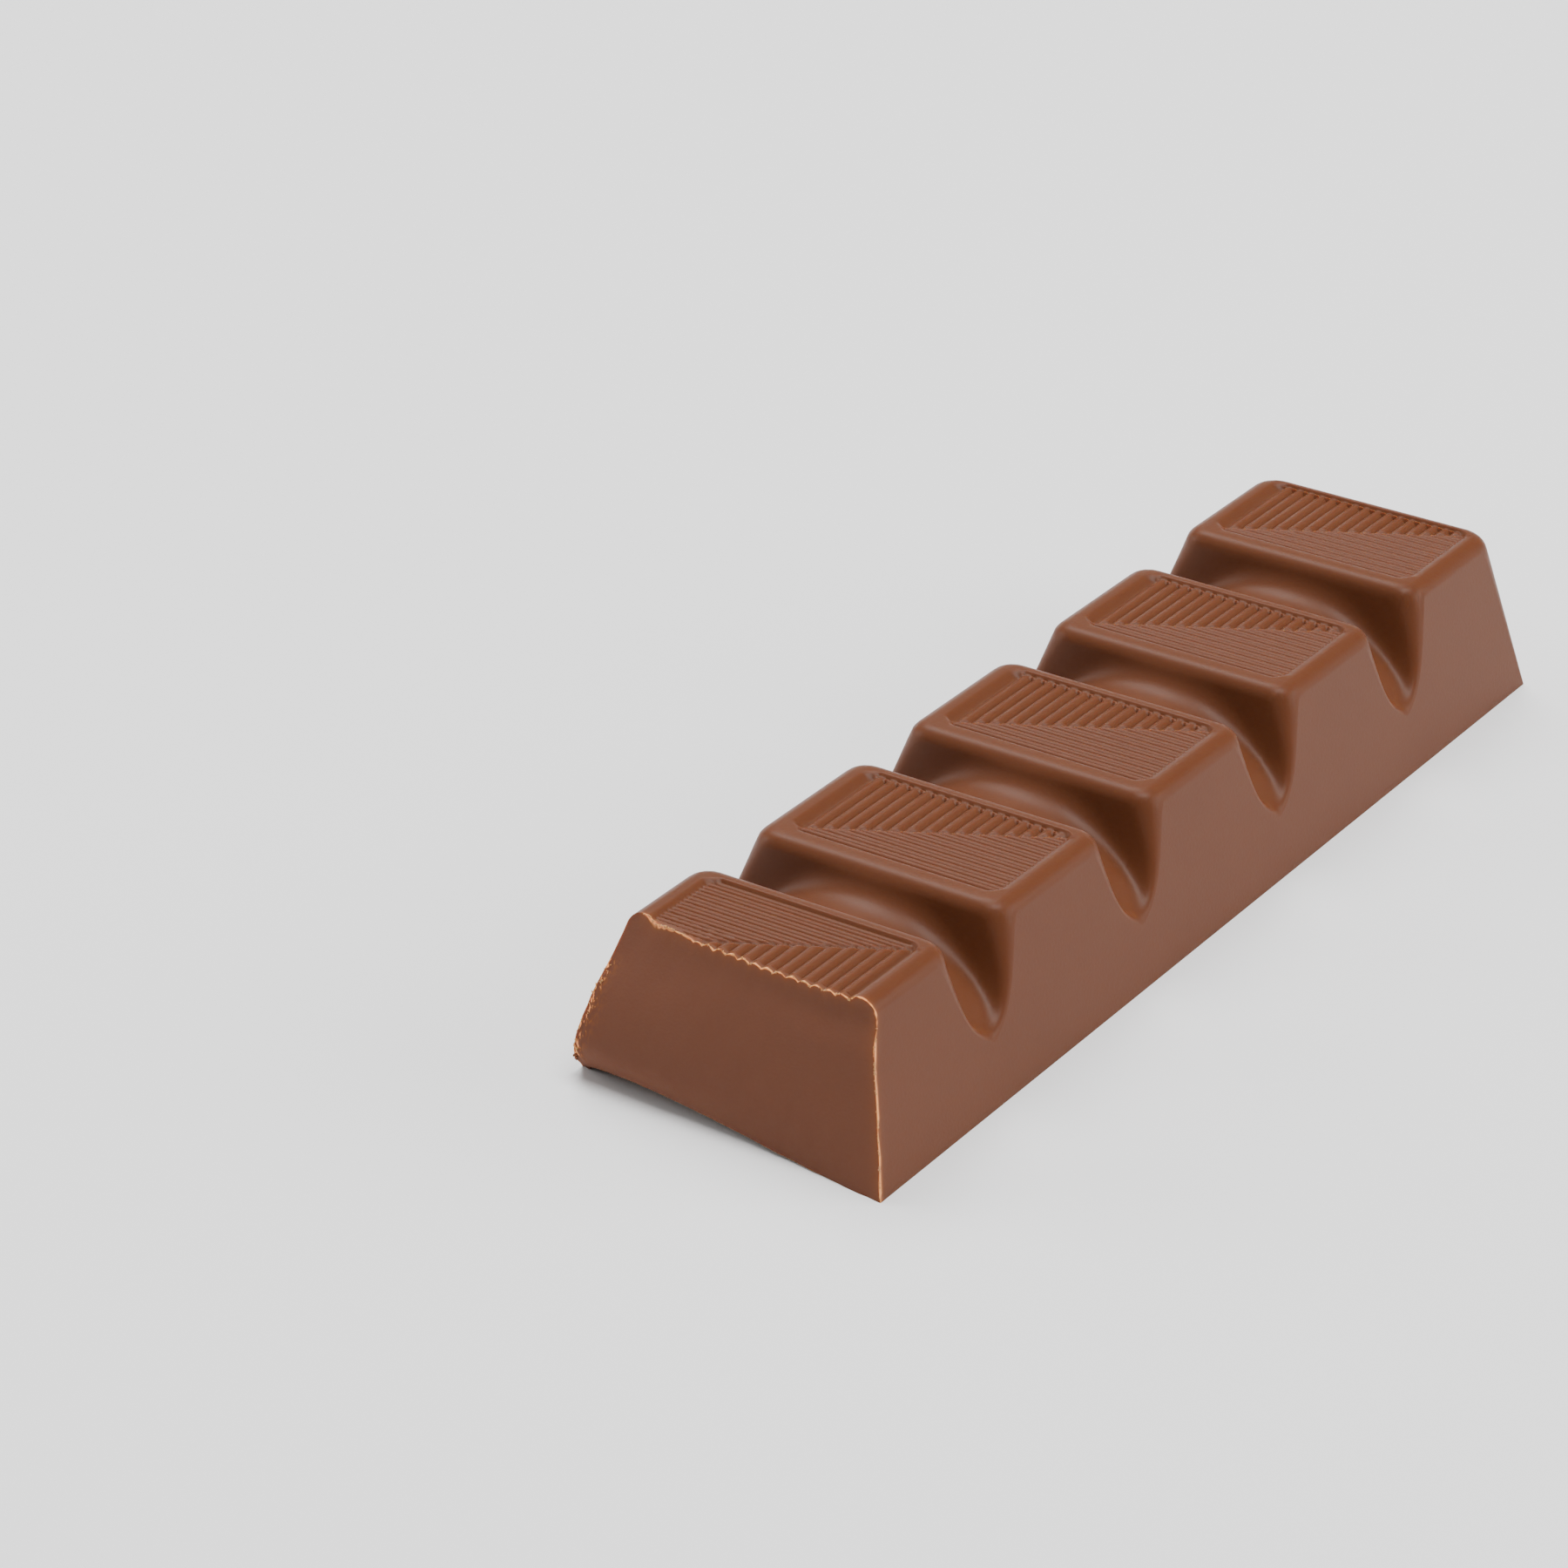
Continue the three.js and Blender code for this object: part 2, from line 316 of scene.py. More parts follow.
@dataclass(frozen=True)
class Beads:
    """The small beads where the valleys between the long ridges end at the panel's back wall.

    Attributes:
        radius: Radius of a bead and of the pit before it.
        height: Height of a bead over its foot.
        foot: Height of its foot over the panel's floor.
        into_wall: How far its middle lies beyond the wall's foot.
        pit: Depth of the pit.
        pit_before: How far the pit's middle lies before the wall's foot.
        clear: Distance from the diagonal within which there are none.
    """

    radius: float = 0.16
    height: float = 0.16
    foot: float = 0.12
    into_wall: float = 0.05
    pit: float = 0.08
    pit_before: float = 0.2
    clear: float = 0.3

    def relief(self, before: np.ndarray, beside: np.ndarray, over: np.ndarray) -> np.ndarray:
        """Shapes the beads and their pits.

        Args:
            before: Distance along the bar from the wall's foot, negative on the panel.
            beside: Distance across the bar from the nearest valley's middle.
            over: Distance from the diagonal, on the long ridges' side.

        Returns:
            Height over the panel's floor.
        """
        bead = np.hypot(before - self.into_wall, beside) / self.radius
        pit = np.hypot(before + self.pit_before, beside) / self.radius
        raised = self.height * np.clip(1 - bead * bead, 0, 1) + self.foot * (bead < 1)
        return (raised - self.pit * np.clip(1 - pit * pit, 0, 1)) * (over > self.clear)


@dataclass(frozen=True)
class Panel:
    """The sunk, ridged panel on top of a block.

    Attributes:
        half_x: Half length of its floor along the bar.
        half_y: Half width of its floor across the bar.
        wall: Run of its sloping wall.
        corner: Radius of its floor's corners.
        depth: Depth of its floor under the crown.
        front_reach: How much further the wall towards the snapped end runs out.
        front_start: How far beyond the floor that longer run starts.
        left_reach: How much further the left wall runs in.
        left_ease: Distance from the left wall's usual foot over which that run is taken up.
        long_pitch: Distance between two ridges that run along the bar.
        long_shift: Place of a valley between them, near the panel's middle.
        long_ridge: Their height.
        long_curve: Power of their rounded section.
        long_nose: Length over which they rise from the diagonal.
        long_margin: Distance from the side walls within which there are none.
        cross_pitch: Distance between two ridges that run across the bar.
        cross_shift: Place of a valley between them, near the panel's front wall.
        cross_rise: Height of the floor between them.
        cross_ridge: Their height over it.
        cross_weak: Depth of the line along their middle, which makes them double, as a share of their
            height.
        cross_nose: Length over which they rise from the diagonal.
        cross_margin: How far beyond the floor their middle lines may lie.
        nose_curve: Power of the ridges' rounded ends.
        foot_blend: How softly the ridges run into the walls.
        beads: The beads at the back wall.
    """

    half_x: float = 4.79
    half_y: float = 8.32
    wall: float = 0.5
    corner: float = 0.6
    depth: float = 0.45
    front_reach: float = 0.3
    front_start: float = 0.1
    left_reach: float = 0.5
    left_ease: float = 1.1
    long_pitch: float = 1.0
    long_shift: float = -0.2
    long_ridge: float = 0.25
    long_curve: float = 2.1
    long_nose: float = 0.4
    long_margin: float = 0.3
    cross_pitch: float = 0.91
    cross_shift: float = -4.89
    cross_rise: float = 0.1
    cross_ridge: float = 0.14
    cross_weak: float = 0.78
    cross_nose: float = 0.2
    cross_margin: float = 0.1
    nose_curve: float = 2.2
    foot_blend: float = 0.08
    beads: Beads = Beads()

    def share(self, u: np.ndarray, y: np.ndarray) -> np.ndarray:
        """Measures how far points lie inside the panel.

        Args:
            u: Distance along the bar from the panel's middle.
            y: Distance across the bar.

        Returns:
            0 on the rim and beyond, 1 on the floor and a soft run between them on the walls.
        """
        near, front = self.half_x + self.front_start, self.half_x + self.wall
        u = np.interp(u, (-FAR, -front - self.front_reach, -near, FAR), (-FAR, -front, -near, FAR))
        foot, rim = self.half_y, self.half_y + self.wall
        kept = foot - self.left_ease
        y = np.interp(y, (-FAR, kept, foot - self.left_reach, rim, FAR), (-FAR, kept, foot, rim, FAR))
        dx = np.abs(u) - (self.half_x - self.corner)
        dy = np.abs(y) - (self.half_y - self.corner)
        outside = np.hypot(np.maximum(dx, 0), np.maximum(dy, 0))
        outside = outside + np.minimum(np.maximum(dx, dy), 0) - self.corner
        return ease(ramp(outside, self.wall, 0))

    def relief(self, u: np.ndarray, y: np.ndarray, layout: RidgeLayout) -> np.ndarray:
        """Shapes the ridges on a panel, cut off along its diagonal.

        Args:
            u: Distance along the bar from the panel's middle.
            y: Distance across the bar.
            layout: Which ridges lie behind the diagonal.

        Returns:
            Height over the panel's floor.
        """
        behind = 1.0 if layout is RidgeLayout.ALONG_BEHIND else -1.0
        over = behind * (u * self.half_y + y * self.half_x) / math.hypot(self.half_x, self.half_y)
        beside = y - self.long_shift
        beside = beside - np.round(beside / self.long_pitch) * self.long_pitch
        beads = self.beads.relief(u - self.half_x, beside, over)
        return self._long_ridges(y, over) + self._cross_ridges(u, -over) + beads

    def _nose(self, over: np.ndarray, length: float) -> np.ndarray:
        """Returns how far a ridge has risen from the diagonal, in a rounded end."""
        return 1 - (1 - ramp(over, 0, length)) ** self.nose_curve

    def _long_ridges(self, y: np.ndarray, over: np.ndarray) -> np.ndarray:
        """Shapes the ridges that run along the bar.

        Args:
            y: Distance across the bar.
            over: Distance from the diagonal, on these ridges' side.

        Returns:
            Height over the panel's floor.
        """
        middle = (np.floor((y - self.long_shift) / self.long_pitch) + 0.5) * self.long_pitch
        middle = middle + self.long_shift
        reach = np.abs(y - middle) / (self.long_pitch / 2)
        ridge = self.long_ridge * (1 - reach**self.long_curve) * self._nose(over, self.long_nose)
        return ridge * (np.abs(middle) < self.half_y - self.long_margin)

    def _cross_ridges(self, u: np.ndarray, over: np.ndarray) -> np.ndarray:
        """Shapes the double ridges that run across the bar.

        Args:
            u: Distance along the bar from the panel's middle.
            over: Distance from the diagonal, on these ridges' side.

        Returns:
            Height over the panel's floor.
        """
        middle = (np.floor((u - self.cross_shift) / self.cross_pitch) + 0.5) * self.cross_pitch
        middle = middle + self.cross_shift
        reach = np.abs(u - middle) / (self.cross_pitch / 2)
        crest = 1 - (2 * reach - 1) ** 2 * np.where(reach < 0.5, self.cross_weak, 1.0)
        crest = crest * (np.abs(middle) < self.half_x + self.cross_margin)
        return (self.cross_rise + self.cross_ridge * crest) * self._nose(over, self.cross_nose)


@dataclass(frozen=True)
class Mould:
    """The bar's moulded form before it is snapped.

    Attributes:
        pitch: Distance between two blocks' middles.
        blocks: Number of blocks.
        first_centre: Middle of the snapped block's panel.
        half_base: Half width of the base.
        side_draft: How far the sides lean in for each millimetre of rise.
        end_base: Place of the whole end at the base.
        end_draft: How far the whole end leans in for each millimetre of rise.
        crown: Level of the blocks' tops.
        lifts: How far each block's top lies over it.
        crown_round: Radius of the top's edges at the sides and the whole end.
        edge_round: Radius of the top's edges at the grooves.
        edge_ease: Distance from the sides' corners over which one radius runs into the other.
        corner_round: Radius of a block's upright corners at the top.
        corner_full: How far under the crown they have that radius.
        corner_curve: Power of the corners' growth with the level.
        notch_round: Radius of the same corners at the notches.
        end_zone: Length of the bar's end that has the whole end's radii.
        end_round: Radius of the whole end's corners at the base.
        end_round_gain: Its growth for each millimetre of rise.
        hollow: Scale of the underside's sink.
        hollow_curve: Power of its growth from the right side to the left.
        hollow_right: Where the sink starts on the right.
        hollow_left: Where it ends on the left.
        hollow_fade: Length over which it fades out towards the whole end.
        rim_band: Width of the flat rim at the whole end.
        level_steps: Number of halvings that find the upper face.
        width_steps: Number of halvings that find the upper face's edge.
        width_start: Half width that is surely on the upper face.
        run_out: Height between the edge and the side's line at which the edge has run out.
        groove: The grooves between the blocks.
        panel: The panels on top of the blocks.
    """

    pitch: float = 20.0
    blocks: int = 5
    first_centre: float = -40.34
    half_base: float = 13.3
    side_draft: float = 0.25
    end_base: float = 47.2
    end_draft: float = 0.105
    crown: float = 12.3
    lifts: tuple[float, ...] = (0.3, 0.0, 0.0, 0.1, 0.5)
    crown_round: float = 1.0
    edge_round: float = 0.95
    edge_ease: float = 1.5
    corner_round: float = 1.75
    corner_full: float = 1.0
    corner_curve: float = 1.6
    notch_round: float = 0.4
    end_zone: float = 6.0
    end_round: float = 0.4
    end_round_gain: float = 0.13
    hollow: float = 4.5
    hollow_curve: float = 2.25
    hollow_right: float = -11.8
    hollow_left: float = 12.6
    hollow_fade: float = 10.0
    rim_band: float = 1.6
    level_steps: int = 30
    width_steps: int = 28
    width_start: float = 6.0
    run_out: float = 0.004
    groove: Groove = Groove()
    panel: Panel = Panel()

    def block_of(self, x: np.ndarray) -> np.ndarray:
        """Returns the number of the block nearest to x."""
        return np.clip(np.round((x - self.first_centre) / self.pitch), 0, self.blocks - 1).astype(int)

    def centre(self, k: np.ndarray) -> np.ndarray:
        """Returns the middle of block k along the bar."""
        return self.first_centre + k * self.pitch

    def side(self, z: np.ndarray) -> np.ndarray:
        """Returns the half width between the two side walls at level z."""
        return self.half_base - self.side_draft * z

    def wall_depth(self, x: np.ndarray, y: np.ndarray, z: np.ndarray) -> np.ndarray:
        """Measures how deep points lie behind the nearest groove's surface or the whole end.

        Args:
            x: Place along the bar.
            y: Distance across the bar.
            z: Level.

        Returns:
            The depth, negative outside the bar.
        """
        j = np.clip(np.round((x - self.first_centre) / self.pitch - 0.5), 0, self.blocks - 2)
        g = x - self.first_centre - (j + 0.5) * self.pitch
        end = (self.end_base - self.end_draft * z - x) / math.hypot(1, self.end_draft)
        return np.minimum(self.groove.depth(g, y, z), end)

    def corner_radius(self, x: np.ndarray, z: np.ndarray) -> np.ndarray:
        """Sizes the upright corners where the sides meet the grooves and the whole end.

        Args:
            x: Place along the bar.
            z: Level.

        Returns:
            The corners' radius there.
        """
        rise = ramp(z, self.groove.floor_level, self.crown - self.corner_full)
        notch = self.notch_round + (self.corner_round - self.notch_round) * rise**self.corner_curve
        end = self.end_round + self.end_round_gain * np.maximum(z, 0)
        return np.where(x > self.end_base - self.end_zone, end, notch)

    def depth(self, x: np.ndarray, y: np.ndarray, z: np.ndarray) -> np.ndarray:
        """Measures how deep points lie inside the moulded form, its edges rounded.

        Args:
            x: Place along the bar.
            y: Distance across the bar.
            z: Level.

        Returns:
            The depth, negative outside the form.
        """
        crown = self.crown + np.array(self.lifts)[self.block_of(x)]
        side = (self.side(z) - np.abs(y)) / math.hypot(1, self.side_draft)
        wall = self.wall_depth(x, y, z)
        at_side = ease(ramp(wall - side, -self.edge_ease, self.edge_ease))
        edge = np.where(x > self.end_base - self.end_zone, self.crown_round, self.edge_round)
        edge = edge + (self.crown_round - edge) * at_side
        upright = rounded_meet(wall, side, self.corner_radius(x, z))
        return rounded_meet(upright, crown - z, edge)

    def level(self, x: np.ndarray, y: np.ndarray) -> np.ndarray:
        """Finds the upper face without its panels.

        Args:
            x: Place along the bar.
            y: Distance across the bar.

        Returns:
            The upper face's level there.
        """
        low = np.full(np.broadcast(x, y).shape, -1.0)
        high = np.full_like(low, self.crown + 1)
        return halve(lambda z: self.depth(x, y, z) > 0, low, high, self.level_steps)

    def ridged_level(self, x: np.ndarray, y: np.ndarray) -> np.ndarray:
        """Finds the upper face with its sunk panels and their ridges.

        Args:
            x: Place along the bar.
            y: Distance across the bar.

        Returns:
            The upper face's level there.
        """
        block = self.block_of(x)
        u = x - self.centre(block)
        sunk = self.panel.depth
        wall = sunk * (1 - self.panel.share(u, y))
        first = self.panel.relief(u, y, RidgeLayout.ACROSS_BEHIND)
        rest = self.panel.relief(u, y, RidgeLayout.ALONG_BEHIND)
        relief = np.where(block == 0, first, rest)
        return self.level(x, y) - sunk + soft_max(wall, relief, self.panel.foot_blend)

    def half_width(self, x: np.ndarray) -> np.ndarray:
        """Finds where the upper face's rounded edge runs out into the side wall.

        Args:
            x: Place along the bar.

        Returns:
            The half width there, no more than the base's.
        """
        inner, outer = np.full_like(x, self.width_start), np.full_like(x, self.half_base)

        def inside(y: np.ndarray) -> np.ndarray:
            """Tells whether the upper face at y still lies under the side's line."""
            return self.level(x, y) < (self.half_base - y) / self.side_draft - self.run_out

        return np.minimum(halve(inside, inner, outer, self.width_steps), self.base_half(x))

    def base_half(self, x: np.ndarray) -> np.ndarray:
        """Measures the base, whose corners at the whole end are rounded.

        Args:
            x: Place along the bar.

        Returns:
            Half its width there.
        """
        into = np.clip(x - (self.end_base - self.end_round), 0, self.end_round)
        arc = np.sqrt(np.maximum(self.end_round**2 - into * into, 0))
        return self.half_base - self.end_round + arc

    def underside(self, x: np.ndarray, y: np.ndarray) -> np.ndarray:
        """Finds the sunk underside.

        Args:
            x: Place along the bar.
            y: Distance across the bar.

        Returns:
            The underside's level there.
        """
        back = self.end_base - self.rim_band
        share = ramp(y, self.hollow_right, self.hollow_left)
        fade = 1 - ramp(x, back - self.hollow_fade, back) ** 2
        return self.hollow * share**self.hollow_curve * np.sqrt(1 - share) * fade


@dataclass(frozen=True)
class Snap:
    """The snapped face, stretched between its two side edges.

    Attributes:
        front: Place along the bar that the two edges are measured from.
        right: The right edge's corners, each a level and a distance from the front.
        left: The left edge's corners.
        soften: Step between the five levels that are averaged to soften the corners.
        bulge: How far the face's middle bulges out at the top.
        grain: Height of the face's grain.
        coarse: The grain's wide noise.
        fine: Its narrow noise.
        fine_share: The narrow noise's height, against the wide one's.
        flake: Noise of the flaky left edge.
        flake_height: Height of its flakes.
        flake_stretch: How much slower they change upwards than across.
        flake_run: Distances from the left side between which they rise.
        flake_fade: Levels between which they fade out.
    """

    front: float = -47.05
    right: tuple[tuple[float, float], ...] = (
        (-2, -0.6), (0, -0.1), (3, 0.86), (6, 1.72), (9.6, 2.54), (10.4, 3.2), (11.2, 3.62), (14, 3.45),
    )
    left: tuple[tuple[float, float], ...] = (
        (-2, 4.4), (0, 3.4), (1.1, 2.2), (3, 1.14), (5.3, 1.5), (7.2, 2.26), (9.4, 3.7), (12, 4.8), (14, 5.4),
    )
    soften: float = 0.3
    bulge: float = 0.5
    grain: float = 0.035
    coarse: SmoothNoise = SmoothNoise(1.7, 3)
    fine: SmoothNoise = SmoothNoise(0.6, 4)
    fine_share: float = 0.6
    flake: SmoothNoise = SmoothNoise(0.3, 8)
    flake_height: float = 0.08
    flake_stretch: float = 0.4
    flake_run: tuple[float, float] = (1.1, 0.2)
    flake_fade: tuple[float, float] = (9.5, 8.0)

    def side_edge(self, corners: tuple[tuple[float, float], ...], z: np.ndarray) -> np.ndarray:
        """Follows one side edge of the snapped face.

        Args:
            corners: The edge's corners.
            z: Level.

        Returns:
            The edge's distance from the front at that level, its corners softened.
        """
        steps = self.soften * np.arange(-2, 3)
        return sum(np.interp(z + step, *np.array(corners).T) for step in steps) / len(steps)

    def place(self, y: np.ndarray, z: np.ndarray, mould: Mould) -> np.ndarray:
        """Finds the snapped face's place along the bar.

        Args:
            y: Distance across the bar.
            z: Level.
            mould: The moulded form that the face cuts.

        Returns:
            The face's x.
        """
        half = mould.side(np.maximum(z, 0))
        share = np.clip((y / half + 1) / 2, 0, 1)
        right, left = self.side_edge(self.right, z), self.side_edge(self.left, z)
        bulge = self.bulge * 4 * share * (1 - share) * np.clip(z / mould.crown, 0, 1)
        grain = self.grain * (self.coarse.sample(y, z) + self.fine_share * self.fine.sample(y, z))
        flaky = ramp(half - y, *self.flake_run) * ramp(z, *self.flake_fade)
        flaky = self.flake_height * flaky * self.flake.sample(y, z * self.flake_stretch)
        return self.front + right + (left - right) * share - bulge + grain + flaky


@dataclass(frozen=True)
class EdgeWearAndGlow:
    """The pale marks along the snapped face's edges: scuffs, flakes and painted glow of light through the
    thin edge.

    Attributes:
        waver: Noise of the scuffed line.
        line_width: Width of the pale line, partly scuffing and partly painted glow.
        line_waver: How much its width wavers.
        line_strength: Its strength.
        strength_waver: How much that wavers.
        strength_most: The most that it comes to.
        rough_middle: Middle of the rougher stretch of the upper edge, across the bar.
        rough_reach: Half length of that stretch.
        rough_width: How much wider the line is there.
        rough_strength: How much stronger it is there.
        glow: Strength of the soft light band around the line.
        glow_width: Width of that band.
        line_end: Distances across the bar between which the line gives way to flakes.
        flake_waver: Noise of the flaky band's width.
        flake_width: Width of the flaky band down the left edge.
        flake_width_waver: How much its width wavers.
        flake_start: Levels between which the band sets in over the base.
        flake_end: Levels between which it ends under the top.
        flake_clear: Depth under the upper face from which on there are flakes.
        flake_side: Distance across the bar from which on there are flakes.
        moulded_fade: How much faster the marks fade over the moulded faces than over the snapped one.
    """

    waver: SmoothNoise = SmoothNoise(0.22, 5)
    line_width: float = 0.12
    line_waver: float = 0.05
    line_strength: float = 0.85
    strength_waver: float = 0.45
    strength_most: float = 1.1
    rough_middle: float = 7.8
    rough_reach: float = 1.6
    rough_width: float = 0.18
    rough_strength: float = 0.2
    glow: float = 0.42
    glow_width: float = 0.4
    line_end: tuple[float, float] = (9.6, 9.2)
    flake_waver: SmoothNoise = SmoothNoise(1.1, 6)
    flake_width: float = 0.75
    flake_width_waver: float = 0.3
    flake_start: tuple[float, float] = (0.8, 2.0)
    flake_end: tuple[float, float] = (9.6, 8.8)
    flake_clear: float = 0.6
    flake_side: float = 8.0
    moulded_fade: float = 2.0

    def scuffs_and_glow(self, y: np.ndarray, z: np.ndarray, away: np.ndarray) -> np.ndarray:
        """Marks where the broken edge is scuffed pale and where a glow of light through the thin edge is
        painted.

        Args:
            y: Distance across the bar.
            z: Level.
            away: Distance from the nearest broken edge.

        Returns:
            Strength of the mark, from 0 for plain to 1 for pale.
        """
        waver = self.waver.sample(y, z)
        rough = ramp(np.abs(y - self.rough_middle), self.rough_reach, 0)
        width = self.line_width + self.line_waver * waver + self.rough_width * rough
        strength = self.line_strength + self.strength_waver * waver + self.rough_strength * rough
        # Pale line, partly real scuffing and partly painted glow; the band around it is wholly painted glow
        # of light through the thin edge.
        line = np.exp(-((away / width) ** 2)) * np.clip(strength, 0, self.strength_most)
        glow = self.glow * np.exp(-away / self.glow_width)
        return np.clip(np.maximum(line, glow) * ramp(y, *self.line_end), 0, 1)

    def flakes(self, y: np.ndarray, z: np.ndarray, away: np.ndarray, below: np.ndarray) -> np.ndarray:
        """Marks the band of pale flakes down the face's left edge.

        Args:
            y: Distance across the bar.
            z: Level.
            away: Distance from the nearest broken edge.
            below: Distance below the upper face.

        Returns:
            Strength of the mark, from 0 for plain to 1 for flaky.
        """
        band = ramp(z, *self.flake_start) * ramp(z, *self.flake_end)
        width = self.flake_width + self.flake_width_waver * self.flake_waver.sample(0 * y, z)
        there = (below > self.flake_clear) * (y > self.flake_side)
        return band * np.exp(-((away / width) ** 2)) * there


class MaterialNodes:
    """A new material and its nodes, with a method for each kind of node that the finishes use."""

    def __init__(self, name: str) -> None:
        """Makes the material with its shader.

        Args:
            name: The material's name.
        """
        self.material = bpy.data.materials.new(name)
        self.material.use_nodes = True
        self.tree = self.material.node_tree
        self.shader = self.tree.nodes["Principled BSDF"]
        self.place = self.tree.nodes.new("ShaderNodeTexCoord").outputs["Object"]

    def feed(self, target: bpy.types.NodeSocket, source: bpy.types.NodeSocket | Triple | float) -> None:
        """Gives a socket its source.

        Args:
            target: The socket.
            source: Another node's output, a colour or a number.
        """
        if isinstance(source, bpy.types.NodeSocket):
            self.tree.links.new(source, target)
        elif isinstance(source, tuple):
            target.default_value = (*source, 1.0)
        else:
            target.default_value = source

    def noise(self, place: bpy.types.NodeSocket, scale: float, detail: float) -> bpy.types.NodeSocket:
        """Adds a noise.

        Args:
            place: Where the noise is read.
            scale: Its number of waves in a metre.
            detail: Its number of finer layers.

        Returns:
            The noise's value.
        """
        node = self.tree.nodes.new("ShaderNodeTexNoise")
        self.feed(node.inputs["Vector"], place)
        self.feed(node.inputs["Scale"], scale)
        self.feed(node.inputs["Detail"], detail)
        return node.outputs["Fac"]

    def stretched(self, scale: Triple) -> bpy.types.NodeSocket:
        """Scales the place on the object.

        Args:
            scale: The scale along each axis.

        Returns:
            The scaled place.
        """
        node = self.tree.nodes.new("ShaderNodeMapping")
        node.inputs["Scale"].default_value = scale
        self.feed(node.inputs["Vector"], self.place)
        return node.outputs["Vector"]

    def attribute(self, name: str) -> bpy.types.NodeSocket:
        """Reads a mark that the mesh carries.

        Args:
            name: The mark's name.

        Returns:
            Its value.
        """
        node = self.tree.nodes.new("ShaderNodeAttribute")
        node.attribute_name = name
        return node.outputs["Fac"]

    def ranged(
        self,
        value: bpy.types.NodeSocket,
        source: tuple[float, float],
        target: tuple[float, float] = (0.0, 1.0),
    ) -> bpy.types.NodeSocket:
        """Maps a value from one range to another.

        Args:
            value: The value.
            source: Its range.
            target: The range that it is mapped to.

        Returns:
            The mapped value, kept inside its new range.
        """
        node = self.tree.nodes.new("ShaderNodeMapRange")
        self.feed(node.inputs["Value"], value)
        names = ("From Min", "From Max", "To Min", "To Max")
        for name, bound in zip(names, (*source, *target)):
            self.feed(node.inputs[name], bound)
        return node.outputs["Result"]

    def worked(
        self, operation: str, a: bpy.types.NodeSocket, b: bpy.types.NodeSocket
    ) -> bpy.types.NodeSocket:
        """Works out one value from two.

        Args:
            operation: The Math node's operation.
            a: The first value.
            b: The second value.

        Returns:
            The outcome.
        """
        node = self.tree.nodes.new("ShaderNodeMath")
        node.operation = operation
        self.feed(node.inputs[0], a)
        self.feed(node.inputs[1], b)
        return node.outputs["Value"]

    def mixed(
        self,
        share: bpy.types.NodeSocket | float,
        a: bpy.types.NodeSocket | Triple,
        b: bpy.types.NodeSocket | Triple,
        kind: str = "RGBA",
    ) -> bpy.types.NodeSocket:
        """Mixes two colours or two values.

        Args:
            share: The second one's share.
            a: The first one.
            b: The second one.
            kind: RGBA for colours, FLOAT for values.

        Returns:
            The mixture.
        """
        node = self.tree.nodes.new("ShaderNodeMix")
        node.data_type = kind
        self.feed(node.inputs["Factor"], share)
        self.feed(node.inputs["A"], a)
        self.feed(node.inputs["B"], b)
        return node.outputs["Result"]

    def bump(self, height: bpy.types.NodeSocket, strength: float, distance: float) -> bpy.types.NodeSocket:
        """Turns a height into a fine relief of the surface.

        Args:
            height: The height.
            strength: How strongly it shows.
            distance: The relief's depth in metres.

        Returns:
            The surface's new normal.
        """
        node = self.tree.nodes.new("ShaderNodeBump")
        self.feed(node.inputs["Height"], height)
        self.feed(node.inputs["Strength"], strength)
        self.feed(node.inputs["Distance"], distance)
        return node.outputs["Normal"]


